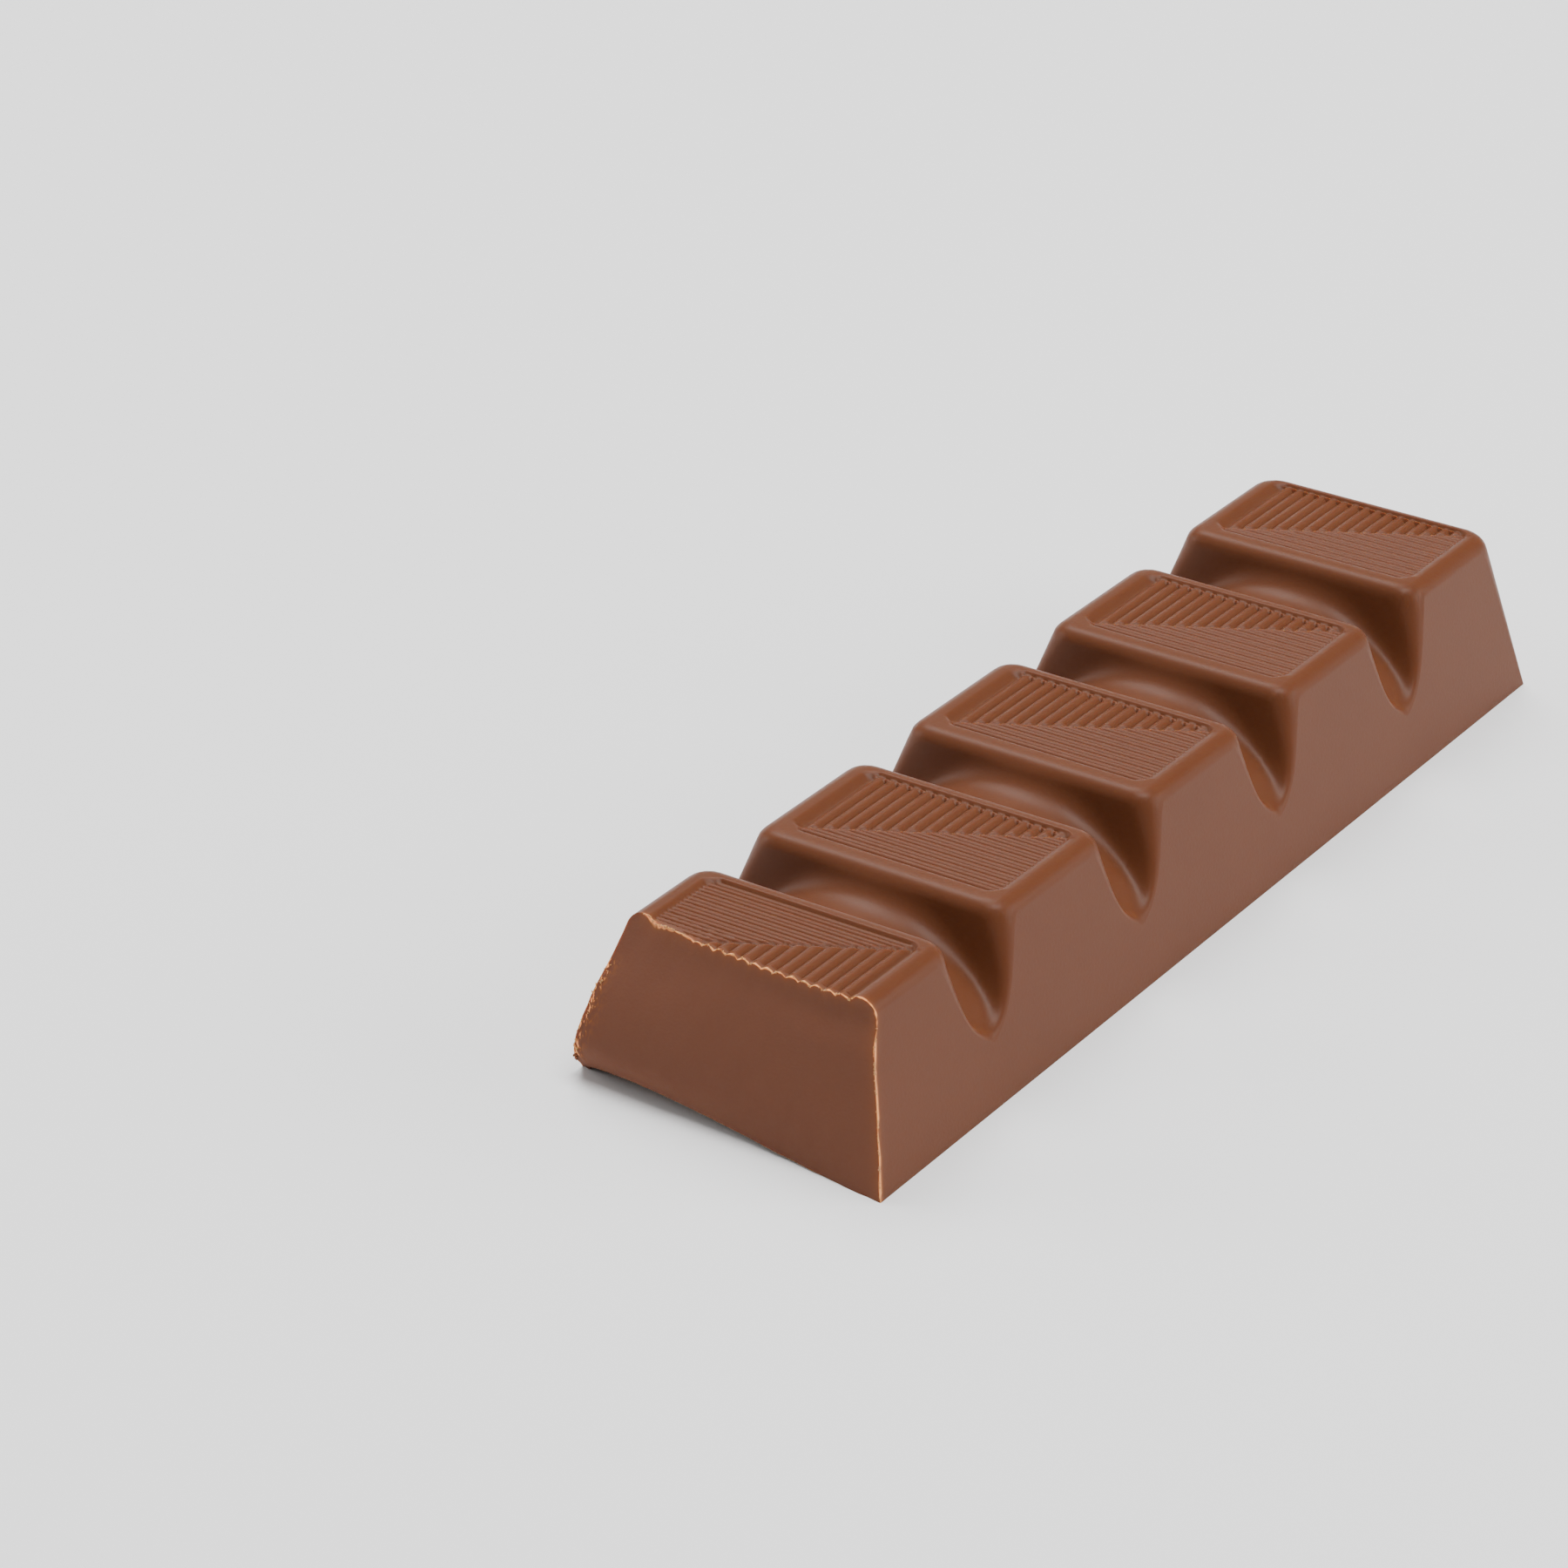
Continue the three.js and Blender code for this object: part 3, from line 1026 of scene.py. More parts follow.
@dataclass(frozen=True)
class MouldedChocolate:
    """Satin milk chocolate as it leaves the mould.

    Attributes:
        name: The material's name.
        colour: Its light tone.
        deep: Its deep tone.
        warm: Tone of a light scuff, and of faint painted glow along the broken edge.
        pale: Tone of a strong scuff, and of strong painted glow along the broken edge.
        roughness: Middle of its roughness.
        roughness_spread: How far the roughness goes to either side of it.
        specular: Strength of its gloss.
        refraction: Its refractive index.
        cloud_scale: Waves of the soft cloud of tone in a metre.
        cloud_detail: Number of finer layers in the cloud.
        fine_detail: Number of finer layers in the mottling and the grain.
        mottle_scale: Waves of the fine mottling in a metre.
        mottle_share: The mottling's share of the tone.
        grain_scale: Waves of the surface's grain in a metre.
        grain: Depth of the grain in millimetres.
        grain_strength: How strongly the grain shows.
        streak_scale: Waves of the flaky streaks in a metre.
        streak_detail: Number of finer layers in the streaks.
        streak_stretch: The streaks' scale along each axis, least upwards.
        streak_edge: Noise values between which a streak sets in.
        warm_from: Marks between which a scuff, flake or painted glow turns warm.
        pale_from: Marks between which it turns pale.
        glow: Share of the light that wanders under the surface.
        glow_colour: How far red, green and blue wander, against each other.
        glow_reach: How far they wander, in millimetres.
    """

    name: str = "moulded milk chocolate"
    colour: Triple = (0.122, 0.0402, 0.0166)
    deep: Triple = (0.103, 0.0326, 0.0131)
    warm: Triple = (0.2, 0.066, 0.024)
    pale: Triple = (0.88, 0.35, 0.13)
    roughness: float = 0.4
    roughness_spread: float = 0.05
    specular: float = 0.15
    refraction: float = 1.46
    cloud_scale: float = 110.0
    cloud_detail: float = 5.0
    fine_detail: float = 2.0
    mottle_scale: float = 5200.0
    mottle_share: float = 0.4
    grain_scale: float = 4200.0
    grain: float = 0.02
    grain_strength: float = 0.4
    streak_scale: float = 5500.0
    streak_detail: float = 3.0
    streak_stretch: Triple = (1.0, 1.0, 0.22)
    streak_edge: tuple[float, float] = (0.46, 0.62)
    warm_from: tuple[float, float] = (0.0, 0.45)
    pale_from: tuple[float, float] = (0.45, 0.85)
    glow: float = 0.5
    glow_colour: Triple = (1.0, 0.38, 0.16)
    glow_reach: float = 1.1

    def make(self) -> bpy.types.Material:
        """Builds the material from a soft cloud of tone, pale scuffs with painted glow along the broken edge,
        and a fine grain.

        Returns:
            The material.
        """
        nodes = MaterialNodes(self.name)
        sockets = nodes.shader.inputs
        grain = nodes.noise(nodes.place, self.grain_scale, self.fine_detail)
        spread = (self.roughness - self.roughness_spread, self.roughness + self.roughness_spread)
        nodes.feed(sockets["Base Color"], self._scuffed_and_glowing(nodes, self._tone(nodes)))
        nodes.feed(sockets["Roughness"], nodes.ranged(grain, (0.0, 1.0), spread))
        nodes.feed(sockets["Normal"], nodes.bump(grain, self.grain_strength, self.grain * MM))
        sockets["IOR"].default_value = self.refraction
        sockets["Specular IOR Level"].default_value = self.specular
        sockets["Subsurface Weight"].default_value = self.glow
        sockets["Subsurface Radius"].default_value = self.glow_colour
        sockets["Subsurface Scale"].default_value = self.glow_reach * MM
        return nodes.material

    def _tone(self, nodes: MaterialNodes) -> bpy.types.NodeSocket:
        """Mixes the chocolate's two tones.

        Args:
            nodes: The nodes of the material that is being built.

        Returns:
            The plain tone.
        """
        cloud = nodes.noise(nodes.place, self.cloud_scale, self.cloud_detail)
        mottle = nodes.noise(nodes.place, self.mottle_scale, self.fine_detail)
        share = nodes.mixed(self.mottle_share, cloud, mottle, "FLOAT")
        return nodes.mixed(share, self.deep, self.colour)

    def _scuffed_and_glowing(self, nodes: MaterialNodes, tone: bpy.types.NodeSocket) -> bpy.types.NodeSocket:
        """Lays the scuffs, the flakes and the painted edge glow over the tone, by the marks that the bar's
        skin carries.

        Args:
            nodes: The nodes of the material that is being built.
            tone: The plain tone.

        Returns:
            The tone with its scuffs, flakes and painted edge glow.
        """
        place = nodes.stretched(self.streak_stretch)
        streak = nodes.ranged(nodes.noise(place, self.streak_scale, self.streak_detail), self.streak_edge)
        flaky = nodes.worked("MULTIPLY", nodes.attribute("flakes"), streak)
        # The wear mark holds real scuffs and a painted glow of light through the thin broken edge.
        mark = nodes.worked("MAXIMUM", flaky, nodes.attribute("wear_and_glow"))
        for bounds, colour in ((self.warm_from, self.warm), (self.pale_from, self.pale)):
            tone = nodes.mixed(nodes.ranged(mark, bounds), tone, colour)
        return tone


@dataclass(frozen=True)
class SnappedChocolate(MouldedChocolate):
    """The dull face where the bar was snapped."""

    name: str = "snapped milk chocolate"
    colour: Triple = (0.147, 0.0567, 0.0313)
    deep: Triple = (0.133, 0.0499, 0.027)
    roughness: float = 0.8
    specular: float = 0.2
    grain: float = 0.05


@dataclass(frozen=True)
class CrumbChocolate(SnappedChocolate):
    """The pale crumbs: partly crumbly scuffing, partly painted glow of light through their thin bits."""

    name: str = "pale crumbs"
    colour: Triple = (0.74, 0.31, 0.125)
    deep: Triple = (0.42, 0.155, 0.06)


@dataclass
class ChocolateBar:
    """The bar's skin: one closed mesh from a sheet that is extruded, cut and bent to the form.

    The sheet is a lattice of stations along the bar and lines across it. While it is shaped it is 1
    long, 1 wide and 1 deep, and its cells are all alike.

    Attributes:
        mould: The moulded form.
        snap: The snapped face.
        wear_and_glow: The marks along the snapped edges, scuffs and flakes with painted glow.
        rows: Where the lattice is cut under its top, as shares of its depth.
        panel_cuts: Number of cuts across each cell of the panels.
        face_cuts: Number of cuts across each cell of the snapped face.
        thin_every: Which lines of the underside are kept, counted from its edge.
        straight_until: Distance from the middle up to which the lines run straight.
        warp_until: Place up to which the stations are drawn to the snapped face.
        panel_margin: How far the cuts of the panels reach beyond their walls.
        lead: Distances of the two stations before the first valley of the first panel.
        panel_count: Number of stations on a panel, two for each cross ridge.
        panel_edge: How far the first of them lies beyond the panel's wall.
        wall_step: Distance between two stations over a groove's outline.
        turn_count: Number of stations over a top's rounded edge at a groove.
        arc_count: Number of stations over the whole end's rounded edge.
        arc_lead: Distance of the station before it.
        end_count: Number of stations down the whole end.
        side_count: Number of lines over the top's edge at each side.
        top_rounds: Number of rounds in which the upper face settles.
        low_rounds: Number of rounds in which the underside settles.
        edge_rounds: Number of rounds in which a point of the broken edge settles.
        smooth_under: Angle in degrees under which edges are shaded smooth.
        name: The piece's name.
    """

    mould: Mould = field(default_factory=Mould)
    snap: Snap = field(default_factory=Snap)
    wear_and_glow: EdgeWearAndGlow = field(default_factory=EdgeWearAndGlow)
    rows: tuple[float, ...] = (0.015, 0.045, 0.12, 0.3, 0.55, 0.8, 0.94)
    panel_cuts: int = 3
    face_cuts: int = 3
    thin_every: int = 5
    straight_until: float = 9.3
    warp_until: float = -40.6
    panel_margin: float = 0.1
    lead: tuple[float, float] = (1.2, 0.6)
    panel_count: int = 24
    panel_edge: float = 0.05
    wall_step: float = 0.5
    turn_count: int = 6
    arc_count: int = 8
    arc_lead: float = 0.35
    end_count: int = 18
    side_count: int = 10
    top_rounds: int = 4
    low_rounds: int = 3
    edge_rounds: int = 5
    smooth_under: float = 50.0
    name: str = "chocolate_bar"

    def __post_init__(self) -> None:
        """Works out the stations along the bar and the lines across it."""
        self.stations = self._stations()
        self.halves = self.mould.half_width(self.stations)
        self.full_half = float(self.mould.half_width(np.array([self.mould.centre(1)]))[0])
        self.lines = self._lines()
        self.cells_x, self.cells_y = len(self.stations) - 1, len(self.lines) - 1
        self.warp_count = int(np.searchsorted(self.stations, self.warp_until))

    def _stations(self) -> np.ndarray:
        """Spaces the stations along the bar, close together on curved parts.

        Returns:
            Their places along the bar, from its snapped end to its whole end.
        """
        mould, panel = self.mould, self.mould.panel
        valley = panel.cross_shift - panel.cross_pitch / 2
        on_panel = valley + np.arange(self.panel_count) * panel.cross_pitch / 2
        on_panel[0] = -(panel.half_x + panel.wall + panel.front_reach + self.panel_edge)
        out = [mould.centre(0) + valley - np.array(self.lead)]
        for k in range(mould.blocks):
            out.append(mould.centre(k) + on_panel)
            if k < mould.blocks - 1:
                before = mould.centre(k) + on_panel[-1]
                after = mould.centre(k) + mould.pitch + on_panel[0]
                out.append(self._groove_stations(mould.centre(k) + mould.pitch / 2, before, after))
        out.append(self._end_stations())
        return np.unique(np.round(np.concatenate(out), DECIMALS))

    def _groove_stations(self, gap: float, before: float, after: float) -> np.ndarray:
        """Spaces the stations between two panels.

        Args:
            gap: The middle between the two panels.
            before: The last station on the first panel.
            after: The first station on the second panel.

        Returns:
            The stations over the groove and its two edges, and one more to either side.
        """
        mould = self.mould
        walls = mould.groove.wall_stations(mould.crown - mould.edge_round, self.wall_step)
        angles = np.linspace(0, math.pi / 2, self.turn_count + 1)[1:]
        turn = mould.edge_round * (1 - np.cos(angles))
        over = gap + np.concatenate([walls[0] - turn[::-1], walls, walls[-1] + turn])
        return np.concatenate([[(before + over[0]) / 2], over, [(after + over[-1]) / 2]])

    def _end_stations(self) -> np.ndarray:
        """Spaces the stations over the whole end's rounded edge and down its wall.

        Returns:
            Their places along the bar.
        """
        mould = self.mould
        top = mould.end_base - mould.end_draft * (mould.crown + mould.lifts[-1] - mould.crown_round)
        arc = top - mould.crown_round * (1 - np.sin(np.linspace(0, math.pi / 2, self.arc_count)))
        down = np.linspace(top, mould.end_base, self.end_count)[1:]
        return np.concatenate([[arc[0] - self.arc_lead], arc, down])

    def _lines(self) -> np.ndarray:
        """Spaces the lattice's lines across a block's top, two for each long ridge.

        Returns:
            Their places across the bar, from right to left.
        """
        panel, half = self.mould.panel, self.full_half
        most = int(2 * self.straight_until / panel.long_pitch) + 1
        ridges = panel.long_shift + np.arange(-most, most + 1) * panel.long_pitch / 2
        ridges = ridges[np.abs(ridges) < self.straight_until]
        rise = 1 - np.sin(np.linspace(0, math.pi / 2, self.side_count))
        edge = half - (half - self.straight_until) * rise
        return np.unique(np.round(np.concatenate([-edge, ridges, edge]), DECIMALS))

    def _blank(self) -> bpy.types.Object:
        """Makes the lattice: a grid sheet extruded to a box and cut into rows.

        Returns:
            The lattice, 1 long, 1 wide and 1 deep.
        """
        bpy.ops.object.select_all(action="DESELECT")
        bpy.ops.mesh.primitive_grid_add(
            x_subdivisions=self.cells_x, y_subdivisions=self.cells_y, size=1.0, location=(0, 0, 0)
        )
        blank = bpy.context.object
        blank.name = self.name
        bpy.ops.object.mode_set(mode="EDIT")
        bpy.ops.mesh.select_all(action="SELECT")
        bpy.ops.mesh.extrude_region_move(TRANSFORM_OT_translate={"value": (0, 0, -1)})
        for row in self.rows:
            bpy.ops.mesh.select_all(action="SELECT")
            bpy.ops.mesh.bisect(plane_co=(0, 0, -row), plane_no=(0, 0, 1), threshold=ROW_CLOSE)
        self._thin_underside(blank)
        self._refine(blank, self._on_panel, self.panel_cuts)
        self._refine(blank, self._on_front, self.face_cuts)
        bpy.ops.object.mode_set(mode="OBJECT")
        return blank

    def _thin_underside(self, blank: bpy.types.Object) -> None:
        """Dissolves most of the underside's lines, which carry no detail.

        Args:
            blank: The lattice, in edit mode.
        """
        bpy.ops.mesh.select_mode(type="EDGE")
        bpy.ops.mesh.select_all(action="DESELECT")
        bm = bmesh.from_edit_mesh(blank.data)
        for edge in bm.edges:
            a, b = (v.co for v in edge.verts)
            if max(a.z, b.z) > -1 + LATTICE_CLOSE:
                continue
            along = abs(a.y - b.y) < LATTICE_CLOSE
            last = self.cells_y if along else self.cells_x
            place = round(((a.y if along else a.x) + 0.5) * last)
            if 0 < place < last and place % self.thin_every:
                edge.select = True
        bmesh.update_edit_mesh(blank.data)
        bpy.ops.mesh.dissolve_edges(use_verts=True)

    def _on_panel(self, middle: Vector) -> bool:
        """Tests whether a lattice face lies on a panel.

        Args:
            middle: The face's middle.

        Returns:
            Whether it does.
        """
        if middle.z < -LATTICE_CLOSE:
            return False
        panel = self.mould.panel
        x = np.interp((middle.x + 0.5) * self.cells_x, np.arange(self.cells_x + 1), self.stations)
        y = np.interp((middle.y + 0.5) * self.cells_y, np.arange(self.cells_y + 1), self.lines)
        u = x - self.mould.centre(self.mould.block_of(np.array(x)))
        margin = panel.wall + self.panel_margin
        return bool(abs(u) < panel.half_x + margin and abs(y) < panel.half_y + margin)

    @staticmethod
    def _on_front(middle: Vector) -> bool:
        """Returns whether a lattice face lies on the end that becomes the snapped face."""
        return middle.x < -0.5 + LATTICE_CLOSE

    def _refine(self, blank: bpy.types.Object, chosen: Callable[[Vector], bool], cuts: int) -> None:
        """Subdivides the lattice where the fine relief is.

        Args:
            blank: The lattice, in edit mode.
            chosen: Test of a face's middle.
            cuts: Number of cuts across each chosen face.
        """
        bpy.ops.mesh.select_mode(type="FACE")
        bpy.ops.mesh.select_all(action="DESELECT")
        bm = bmesh.from_edit_mesh(blank.data)
        for face in bm.faces:
            if chosen(face.calc_center_median()):
                face.select = True
        bmesh.update_edit_mesh(blank.data)
        bpy.ops.mesh.subdivide(number_cuts=cuts)

    def _along(self, cells: np.ndarray, y: np.ndarray, z: np.ndarray) -> np.ndarray:
        """Places the lattice's points along the bar.

        Args:
            cells: Number of cells before each point.
            y: Distance across the bar.
            z: Level.

        Returns:
            Each point's x, drawn to the snapped face near the front.
        """
        station = np.interp(cells, np.arange(self.cells_x + 1), self.stations)
        warp = np.clip(1 - cells / self.warp_count, 0, 1)
        anchor = self.stations[self.warp_count]
        drawn = anchor + (self.snap.place(y, z, self.mould) - anchor) * warp
        return np.where(cells < self.warp_count, drawn, station)

    def _upper(self, cells: np.ndarray, line: np.ndarray) -> tuple[np.ndarray, np.ndarray, np.ndarray]:
        """Finds the points of the upper face over each point of the lattice.

        Args:
            cells: Number of cells before each point.
            line: Place of each point's line across a block's top.

        Returns:
            Their x, y and z.
        """
        half = np.interp(cells, np.arange(self.cells_x + 1), self.halves)
        outside = np.maximum(np.abs(line) - self.straight_until, 0)
        outside = outside * (half - self.straight_until) / (self.full_half - self.straight_until)
        y = np.sign(line) * (np.minimum(np.abs(line), self.straight_until) + outside)
        z = np.full(len(cells), self.mould.crown)
        for _ in range(self.top_rounds):
            x = self._along(cells, y, z)
            z = np.maximum(self.mould.ridged_level(x, y), 0)
        return x, y, z

    def _lower(
        self, cells: np.ndarray, top_y: np.ndarray, top_z: np.ndarray
    ) -> tuple[np.ndarray, np.ndarray]:
        """Finds the points of the underside below each point of the lattice.

        Args:
            cells: Number of cells before each point.
            top_y: Distance across the bar of the upper face's points.
            top_z: Their level.

        Returns:
            The underside's y and z.
        """
        numbers = np.arange(self.cells_x + 1)
        half, station = np.interp(cells, numbers, self.halves), np.interp(cells, numbers, self.stations)
        y = top_y / half * self.mould.base_half(station)
        z = np.zeros(len(cells))
        for _ in range(self.low_rounds):
            z = self.mould.underside(self._along(cells, y, z), y)
        return y, np.minimum(z, top_z)

    def _bend(self, blank: bpy.types.Object) -> None:
        """Moves the lattice's points onto the bar's form and marks the wear and painted glow along its
        snapped edges.

        Args:
            blank: The lattice in object mode, 1 long, 1 wide and 1 deep.
        """
        co = np.empty(len(blank.data.vertices) * 3)
        blank.data.vertices.foreach_get("co", co)
        co = co.reshape(-1, 3)
        cells, depth = (co[:, 0] + 0.5) * self.cells_x, np.clip(-co[:, 2], 0, 1)
        line = np.interp((co[:, 1] + 0.5) * self.cells_y, np.arange(self.cells_y + 1), self.lines)
        top_x, top_y, top_z = self._upper(cells, line)
        low_y, low_z = self._lower(cells, top_y, top_z)
        y = top_y + (low_y - top_y) * depth
        z = top_z + (low_z - top_z) * depth
        x = np.where(depth <= 0, top_x, self._along(cells, y, z))
        blank.data.vertices.foreach_set("co", (np.stack([x, y, z], axis=1) * MM).ravel())
        blank.data.update()
        broken = cells < LATTICE_CLOSE
        beyond = np.where(broken, 0, x - self.snap.place(y, z, self.mould))
        side = np.maximum(self.mould.side(z) - np.abs(y), 0)
        away = np.where(broken, np.minimum(top_z - z, side), 0) + self.wear_and_glow.moulded_fade * beyond
        # Pale mark: real scuffs and a painted glow of light through the thin broken edge.
        self._mark(blank, "wear_and_glow", self.wear_and_glow.scuffs_and_glow(y, z, away))
        self._mark(blank, "flakes", self.wear_and_glow.flakes(y, z, away, top_z - z))

    @staticmethod
    def _mark(blank: bpy.types.Object, name: str, values: np.ndarray) -> None:
        """Writes a mark onto the skin's points, for its finishes to read.

        Args:
            blank: The skin.
            name: The mark's name.
            values: Its value at each point.
        """
        layer = blank.data.attributes.new(name, "FLOAT", "POINT")
        layer.data.foreach_set("value", values.astype(np.float32))

    def edge_point(self, y: float) -> Triple:
        """Finds a point of the broken upper edge.

        Args:
            y: Its distance across the bar.

        Returns:
            Its x, y and z.
        """
        z = self.mould.crown
        for _ in range(self.edge_rounds):
            x = float(self.snap.place(np.array(y), np.array(z), self.mould))
            z = float(self.mould.ridged_level(np.array([x]), np.array([y]))[0])
        return x, y, z

    def _close(self, bar: bpy.types.Object) -> None:
        """Merges the skin's doubled points, turns its faces outwards and shades it.

        Args:
            bar: The bent skin.
        """
        bpy.ops.object.mode_set(mode="EDIT")
        bpy.ops.mesh.select_all(action="SELECT")
        bpy.ops.mesh.remove_doubles(threshold=MERGE_UNDER)
        bpy.ops.mesh.dissolve_degenerate(threshold=SLIVER_UNDER)
        bpy.ops.mesh.normals_make_consistent(inside=False)
        bpy.ops.object.mode_set(mode="OBJECT")
        bpy.ops.object.shade_smooth_by_angle(angle=math.radians(self.smooth_under))

    def dress(self, blank: bpy.types.Object) -> None:
        """Gives the snapped end its finish and the rest of the lattice the mould's.

        Args:
            blank: The lattice in object mode, before it is bent.
        """
        finishes = {Finish.MOULDED: MouldedChocolate(), Finish.SNAPPED: SnappedChocolate()}
        for finish in Finish:
            blank.data.materials.append(finishes[finish].make())
        for face in blank.data.polygons:
            finish = Finish.SNAPPED if self._on_front(face.center) else Finish.MOULDED
            face.material_index = finish.value

    def build(self) -> bpy.types.Object:
        """Models and dresses the bar's skin.

        Returns:
            The finished object, with a material slot for each finish.
        """
        bar = self._blank()
        self.dress(bar)
        self._bend(bar)
        self._close(bar)
        return bar


@dataclass(frozen=True)
class CrumbRun:
    """A stretch of one snapped edge, and the crumbs on it.

    Attributes:
        edge: The edge.
        start: Where the stretch starts, across the bar on the upper edge and by level elsewhere.
        end: Where it ends.
        count: Number of crumbs.
        shift: Least and most shift off the edge, upwards on the upper edge and inwards elsewhere.
        stretch: How much larger than usual the crumbs are along each axis.
    """

    edge: SnappedEdge
    start: float
    end: float
    count: int
    shift: tuple[float, float]
    stretch: Triple = (1.0, 1.0, 1.0)


@dataclass
class Crumbs:
    """The crumbs and flakes that cling to the edges of the snapped face.

    Attributes:
        bar: The bar that they cling to.
        runs: The stretches of the edges that they are scattered over.
        half_sizes: Least and most half size of a crumb.
        sunk: How far a crumb's middle lies behind the snapped face.
        turn: Most turn of a crumb, in radians.
        cuts: Number of flat cuts that make a crumb angular.
        cut_depths: Least and most distance of a cut from its middle, as shares of its half size.
        burr_top: Level under which the crumbs on the left have the snapped face's own finish.
        seed: Start of the random draws.
        smooth_under: Angle in degrees under which edges are shaded smooth.
        name: The piece's name.
    """

    bar: ChocolateBar
    runs: tuple[CrumbRun, ...] = (
        CrumbRun(SnappedEdge.TOP, -8.8, 9.2, 50, (-0.08, 0.03)),
        CrumbRun(SnappedEdge.TOP, 6.3, 9.1, 30, (-0.08, 0.03)),
        CrumbRun(SnappedEdge.RIGHT, 0.6, 10.8, 40, (0.0, 0.08)),
        CrumbRun(SnappedEdge.RIGHT, 7.9, 9.3, 10, (0.0, 0.08)),
        CrumbRun(SnappedEdge.LEFT, 2.4, 9.0, 24, (0.0, 0.4), (0.7, 1.1, 3.2)),
        CrumbRun(SnappedEdge.LEFT, 0.9, 2.1, 9, (-0.1, 0.3), (1.8, 1.8, 1.8)),
    )
    half_sizes: tuple[float, float] = (0.045, 0.1)
    sunk: float = 0.02
    turn: float = 0.6
    cuts: int = 3
    cut_depths: tuple[float, float] = (0.35, 0.8)
    burr_top: float = 2.35
    seed: int = 11
    smooth_under: float = 35.0
    name: str = "snap_crumbs"

    def _spot(self, run: CrumbRun, value: float, rng: np.random.Generator) -> tuple[Triple, Triple]:
        """Places and sizes one crumb.

        Args:
            run: The stretch that it lies on.
            value: Its place on that stretch.
            rng: Source of its size and shift.

        Returns:
            Its middle and its half sizes, in millimetres.
        """
        size = rng.uniform(*self.half_sizes, 3) * np.array(run.stretch)
        if run.edge is SnappedEdge.TOP:
            x, y, z = self.bar.edge_point(value)
            z += float(rng.uniform(*run.shift))
        else:
            side = 1 if run.edge is SnappedEdge.LEFT else -1
            z = value
            y = side * (self.bar.mould.side(z) - float(rng.uniform(*run.shift)))
            x = float(self.bar.snap.place(np.array(y), np.array(z), self.bar.mould))
        return (x + self.sunk, y, z), tuple(float(s) for s in size)

    def _scatter(self, rng: np.random.Generator) -> list[tuple[Triple, Triple]]:
        """Scatters the crumbs over their stretches.

        Args:
            rng: Source of the places and sizes.

        Returns:
            The middle and half sizes of each crumb.
        """
        values = [(run, rng.uniform(run.start, run.end, run.count)) for run in self.runs]
        return [self._spot(run, float(value), rng) for run, places in values for value in places]

    def _chip(self, place: Triple, size: Triple, rng: np.random.Generator) -> None:
        """Adds one angular crumb to the mesh that is being edited.

        Args:
            place: Its middle, in millimetres.
            size: Its half sizes, in millimetres.
            rng: Source of its shape.
        """
        middle = Vector(place) * MM
        bpy.ops.mesh.select_all(action="DESELECT")
        bpy.ops.mesh.primitive_ico_sphere_add(subdivisions=2, radius=MM, location=middle)
        bpy.ops.transform.resize(value=size, center_override=middle)
        turn = float(rng.uniform(-self.turn, self.turn))
        bpy.ops.transform.rotate(value=turn, orient_axis="X", center_override=middle)
        for _ in range(self.cuts):
            way = Vector(rng.normal(size=3)).normalized()
            cut = middle + way * (min(size) * float(rng.uniform(*self.cut_depths)) * MM)
            bpy.ops.mesh.bisect(
                plane_co=cut, plane_no=way, use_fill=True, clear_outer=True, threshold=CHIP_CLOSE
            )
            bpy.ops.mesh.select_linked()

    def dress(self, crumbs: bpy.types.Object) -> None:
        """Makes the crumbs pale, partly with painted glow, but for the burr at the foot of the left edge.

        Args:
            crumbs: The crumbs.
        """
        # The pale crumb tone is partly painted glow of light through the thin crumbs.
        finishes = {CrumbFinish.PALE: CrumbChocolate(), CrumbFinish.SNAPPED: SnappedChocolate()}
        for finish in CrumbFinish:
            crumbs.data.materials.append(finishes[finish].make())
        for face in crumbs.data.polygons:
            burr = face.center.y > 0 and face.center.z < self.burr_top * MM
            face.material_index = (CrumbFinish.SNAPPED if burr else CrumbFinish.PALE).value

    def build(self) -> bpy.types.Object:
        """Models and dresses the crumbs.

        Returns:
            The finished object.
        """
        rng = np.random.default_rng(self.seed)
        mesh = bpy.data.meshes.new(self.name)
        crumbs = bpy.data.objects.new(self.name, mesh)
        bpy.context.scene.collection.objects.link(crumbs)
        bpy.ops.object.select_all(action="DESELECT")
        bpy.context.view_layer.objects.active = crumbs
        crumbs.select_set(True)
        bpy.ops.object.mode_set(mode="EDIT")
        for place, size in self._scatter(rng):
            self._chip(place, size, rng)
        bpy.ops.mesh.select_all(action="SELECT")
        bpy.ops.mesh.normals_make_consistent(inside=False)
        bpy.ops.object.mode_set(mode="OBJECT")
        bpy.ops.object.shade_smooth_by_angle(angle=math.radians(self.smooth_under))
        self.dress(crumbs)
        return crumbs


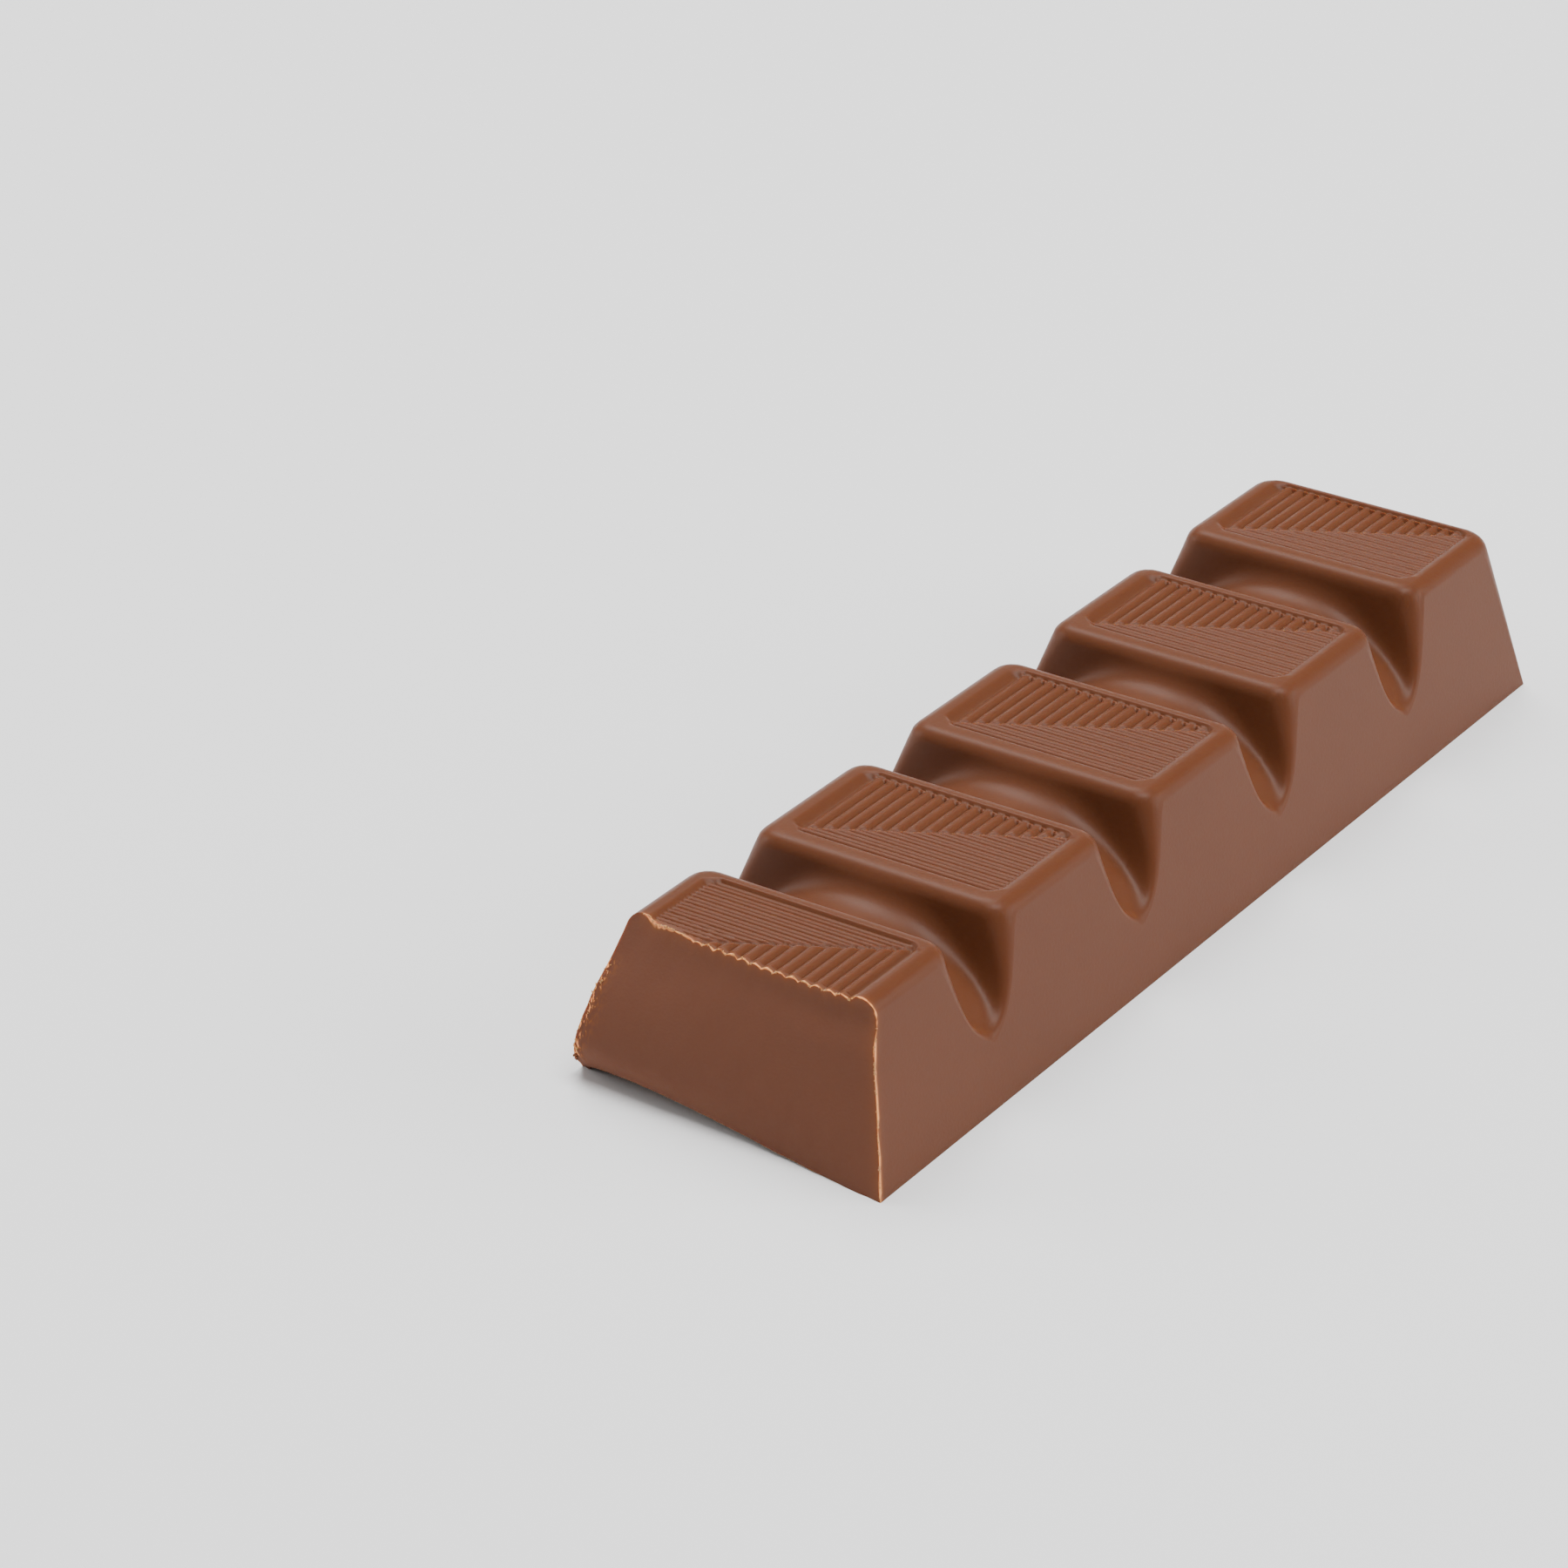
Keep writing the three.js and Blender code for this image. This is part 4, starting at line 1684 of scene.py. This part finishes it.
@dataclass(frozen=True)
class Camera:
    """The camera, where the bar was seen from.

    Attributes:
        place: Where it stands, in millimetres.
        heading: Direction of its view over the floor, in degrees from +X towards +Y.
        tilt: Angle of its view over the horizon, in degrees.
        roll: Its turn about its own view, in degrees.
        lens: Focal length in millimetres.
        sensor: Width of its sensor in millimetres.
        clip: Nearest and furthest distance that it sees, in metres.
    """

    place: Triple = (-295.275, -169.654, 183.039)
    heading: float = 33.5071
    tilt: float = -27.3947
    roll: float = 0.5427
    lens: float = 120.0
    sensor: float = 36.0
    clip: tuple[float, float] = (0.01, 50.0)

    def stand(self) -> None:
        """Stands the camera up and makes it the scene's."""
        data = bpy.data.cameras.new("camera")
        data.lens = self.lens
        data.sensor_width = self.sensor
        data.clip_start, data.clip_end = self.clip
        turn = Matrix.Rotation(math.radians(self.heading - 90), 4, "Z")
        turn = turn @ Matrix.Rotation(math.radians(self.tilt + 90), 4, "X")
        turn = turn @ Matrix.Rotation(math.radians(self.roll), 4, "Z")
        camera = bpy.data.objects.new("camera", data)
        camera.matrix_world = Matrix.Translation(Vector(self.place) * MM) @ turn
        bpy.context.scene.collection.objects.link(camera)
        bpy.context.scene.camera = camera


@dataclass(frozen=True)
class Lamp:
    """A soft rectangular light that faces the bar.

    Attributes:
        name: Its name.
        place: Where it hangs, in metres.
        size: Its width and height, in metres.
        power: Its power in watts.
    """

    name: str
    place: Triple
    size: tuple[float, float]
    power: float

    def hang(self) -> None:
        """Hangs the light up, turned to the bar."""
        data = bpy.data.lights.new(self.name, "AREA")
        data.shape = "RECTANGLE"
        data.size, data.size_y = self.size
        data.energy = self.power
        lamp = bpy.data.objects.new(self.name, data)
        lamp.location = self.place
        lamp.rotation_euler = Vector(self.place).to_track_quat("Z", "Y").to_euler()
        bpy.context.scene.collection.objects.link(lamp)


@dataclass(frozen=True)
class PaleFloor:
    """The plain matt finish of the studio's floor."""

    name: str = "pale floor"
    colour: Triple = (0.9, 0.9, 0.9)
    roughness: float = 0.9
    specular: float = 0.1

    def make(self) -> bpy.types.Material:
        """Builds the material.

        Returns:
            The material.
        """
        material = bpy.data.materials.new(self.name)
        material.use_nodes = True
        shader = material.node_tree.nodes["Principled BSDF"]
        shader.inputs["Base Color"].default_value = (*self.colour, 1.0)
        shader.inputs["Roughness"].default_value = self.roughness
        shader.inputs["Specular IOR Level"].default_value = self.specular
        return material


@dataclass(frozen=True)
class Studio:
    """The pale floor, the soft lights and the camera.

    Attributes:
        camera: The camera.
        floor_size: Length of the floor's sides in metres.
        ambient: Strength of the light from all around.
        lamps: The lights.
    """

    camera: Camera = Camera()
    floor_size: float = 6.0
    ambient: float = 0.235
    lamps: tuple[Lamp, ...] = (
        Lamp("key from behind on the left", (0.34, 0.48, 0.95), (0.6, 0.6), 10.0),
        Lamp("overhead", (-0.05, -0.25, 1.1), (0.55, 0.55), 14.0),
        Lamp("right side", (0.45, -0.85, 0.4), (0.8, 0.5), 6.7),
        Lamp("left side", (-0.3, 0.9, 0.35), (0.6, 0.5), 3.8),
        Lamp("low from behind", (0.95, 0.75, 0.1), (1.2, 0.18), 1.8),
    )

    def floor(self) -> bpy.types.Object:
        """Lays the floor.

        Returns:
            The floor.
        """
        bpy.ops.object.select_all(action="DESELECT")
        bpy.ops.mesh.primitive_plane_add(size=self.floor_size, location=(0, 0, 0))
        floor = bpy.context.object
        floor.name = "floor"
        floor.data.materials.append(PaleFloor().make())
        return floor

    def lights(self) -> None:
        """Sets the light from all around and hangs the lamps."""
        world = bpy.data.worlds.new("studio")
        world.use_nodes = True
        background = world.node_tree.nodes["Background"]
        background.inputs["Color"].default_value = (1.0, 1.0, 1.0, 1.0)
        background.inputs["Strength"].default_value = self.ambient
        bpy.context.scene.world = world
        for lamp in self.lamps:
            lamp.hang()


def main() -> None:
    """Builds the bar, its crumbs and the studio."""
    logging.basicConfig(level=logging.INFO, format="%(message)s")
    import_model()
    studio = Studio()
    studio.camera.stand()
    chocolate_bar = ChocolateBar()
    bar = chocolate_bar.build()
    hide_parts("bar")
    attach(bar, "root")
    LOG.info("%s: %d faces", bar.name, len(bar.data.polygons))
    crumbs = Crumbs(chocolate_bar).build()
    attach(crumbs, "root")
    LOG.info("%s: %d faces", crumbs.name, len(crumbs.data.polygons))
    floor = studio.floor()
    studio.lights()
    LOG.info("%s and %d lamps", floor.name, len(studio.lamps))


if __name__ == "__main__":
    main()
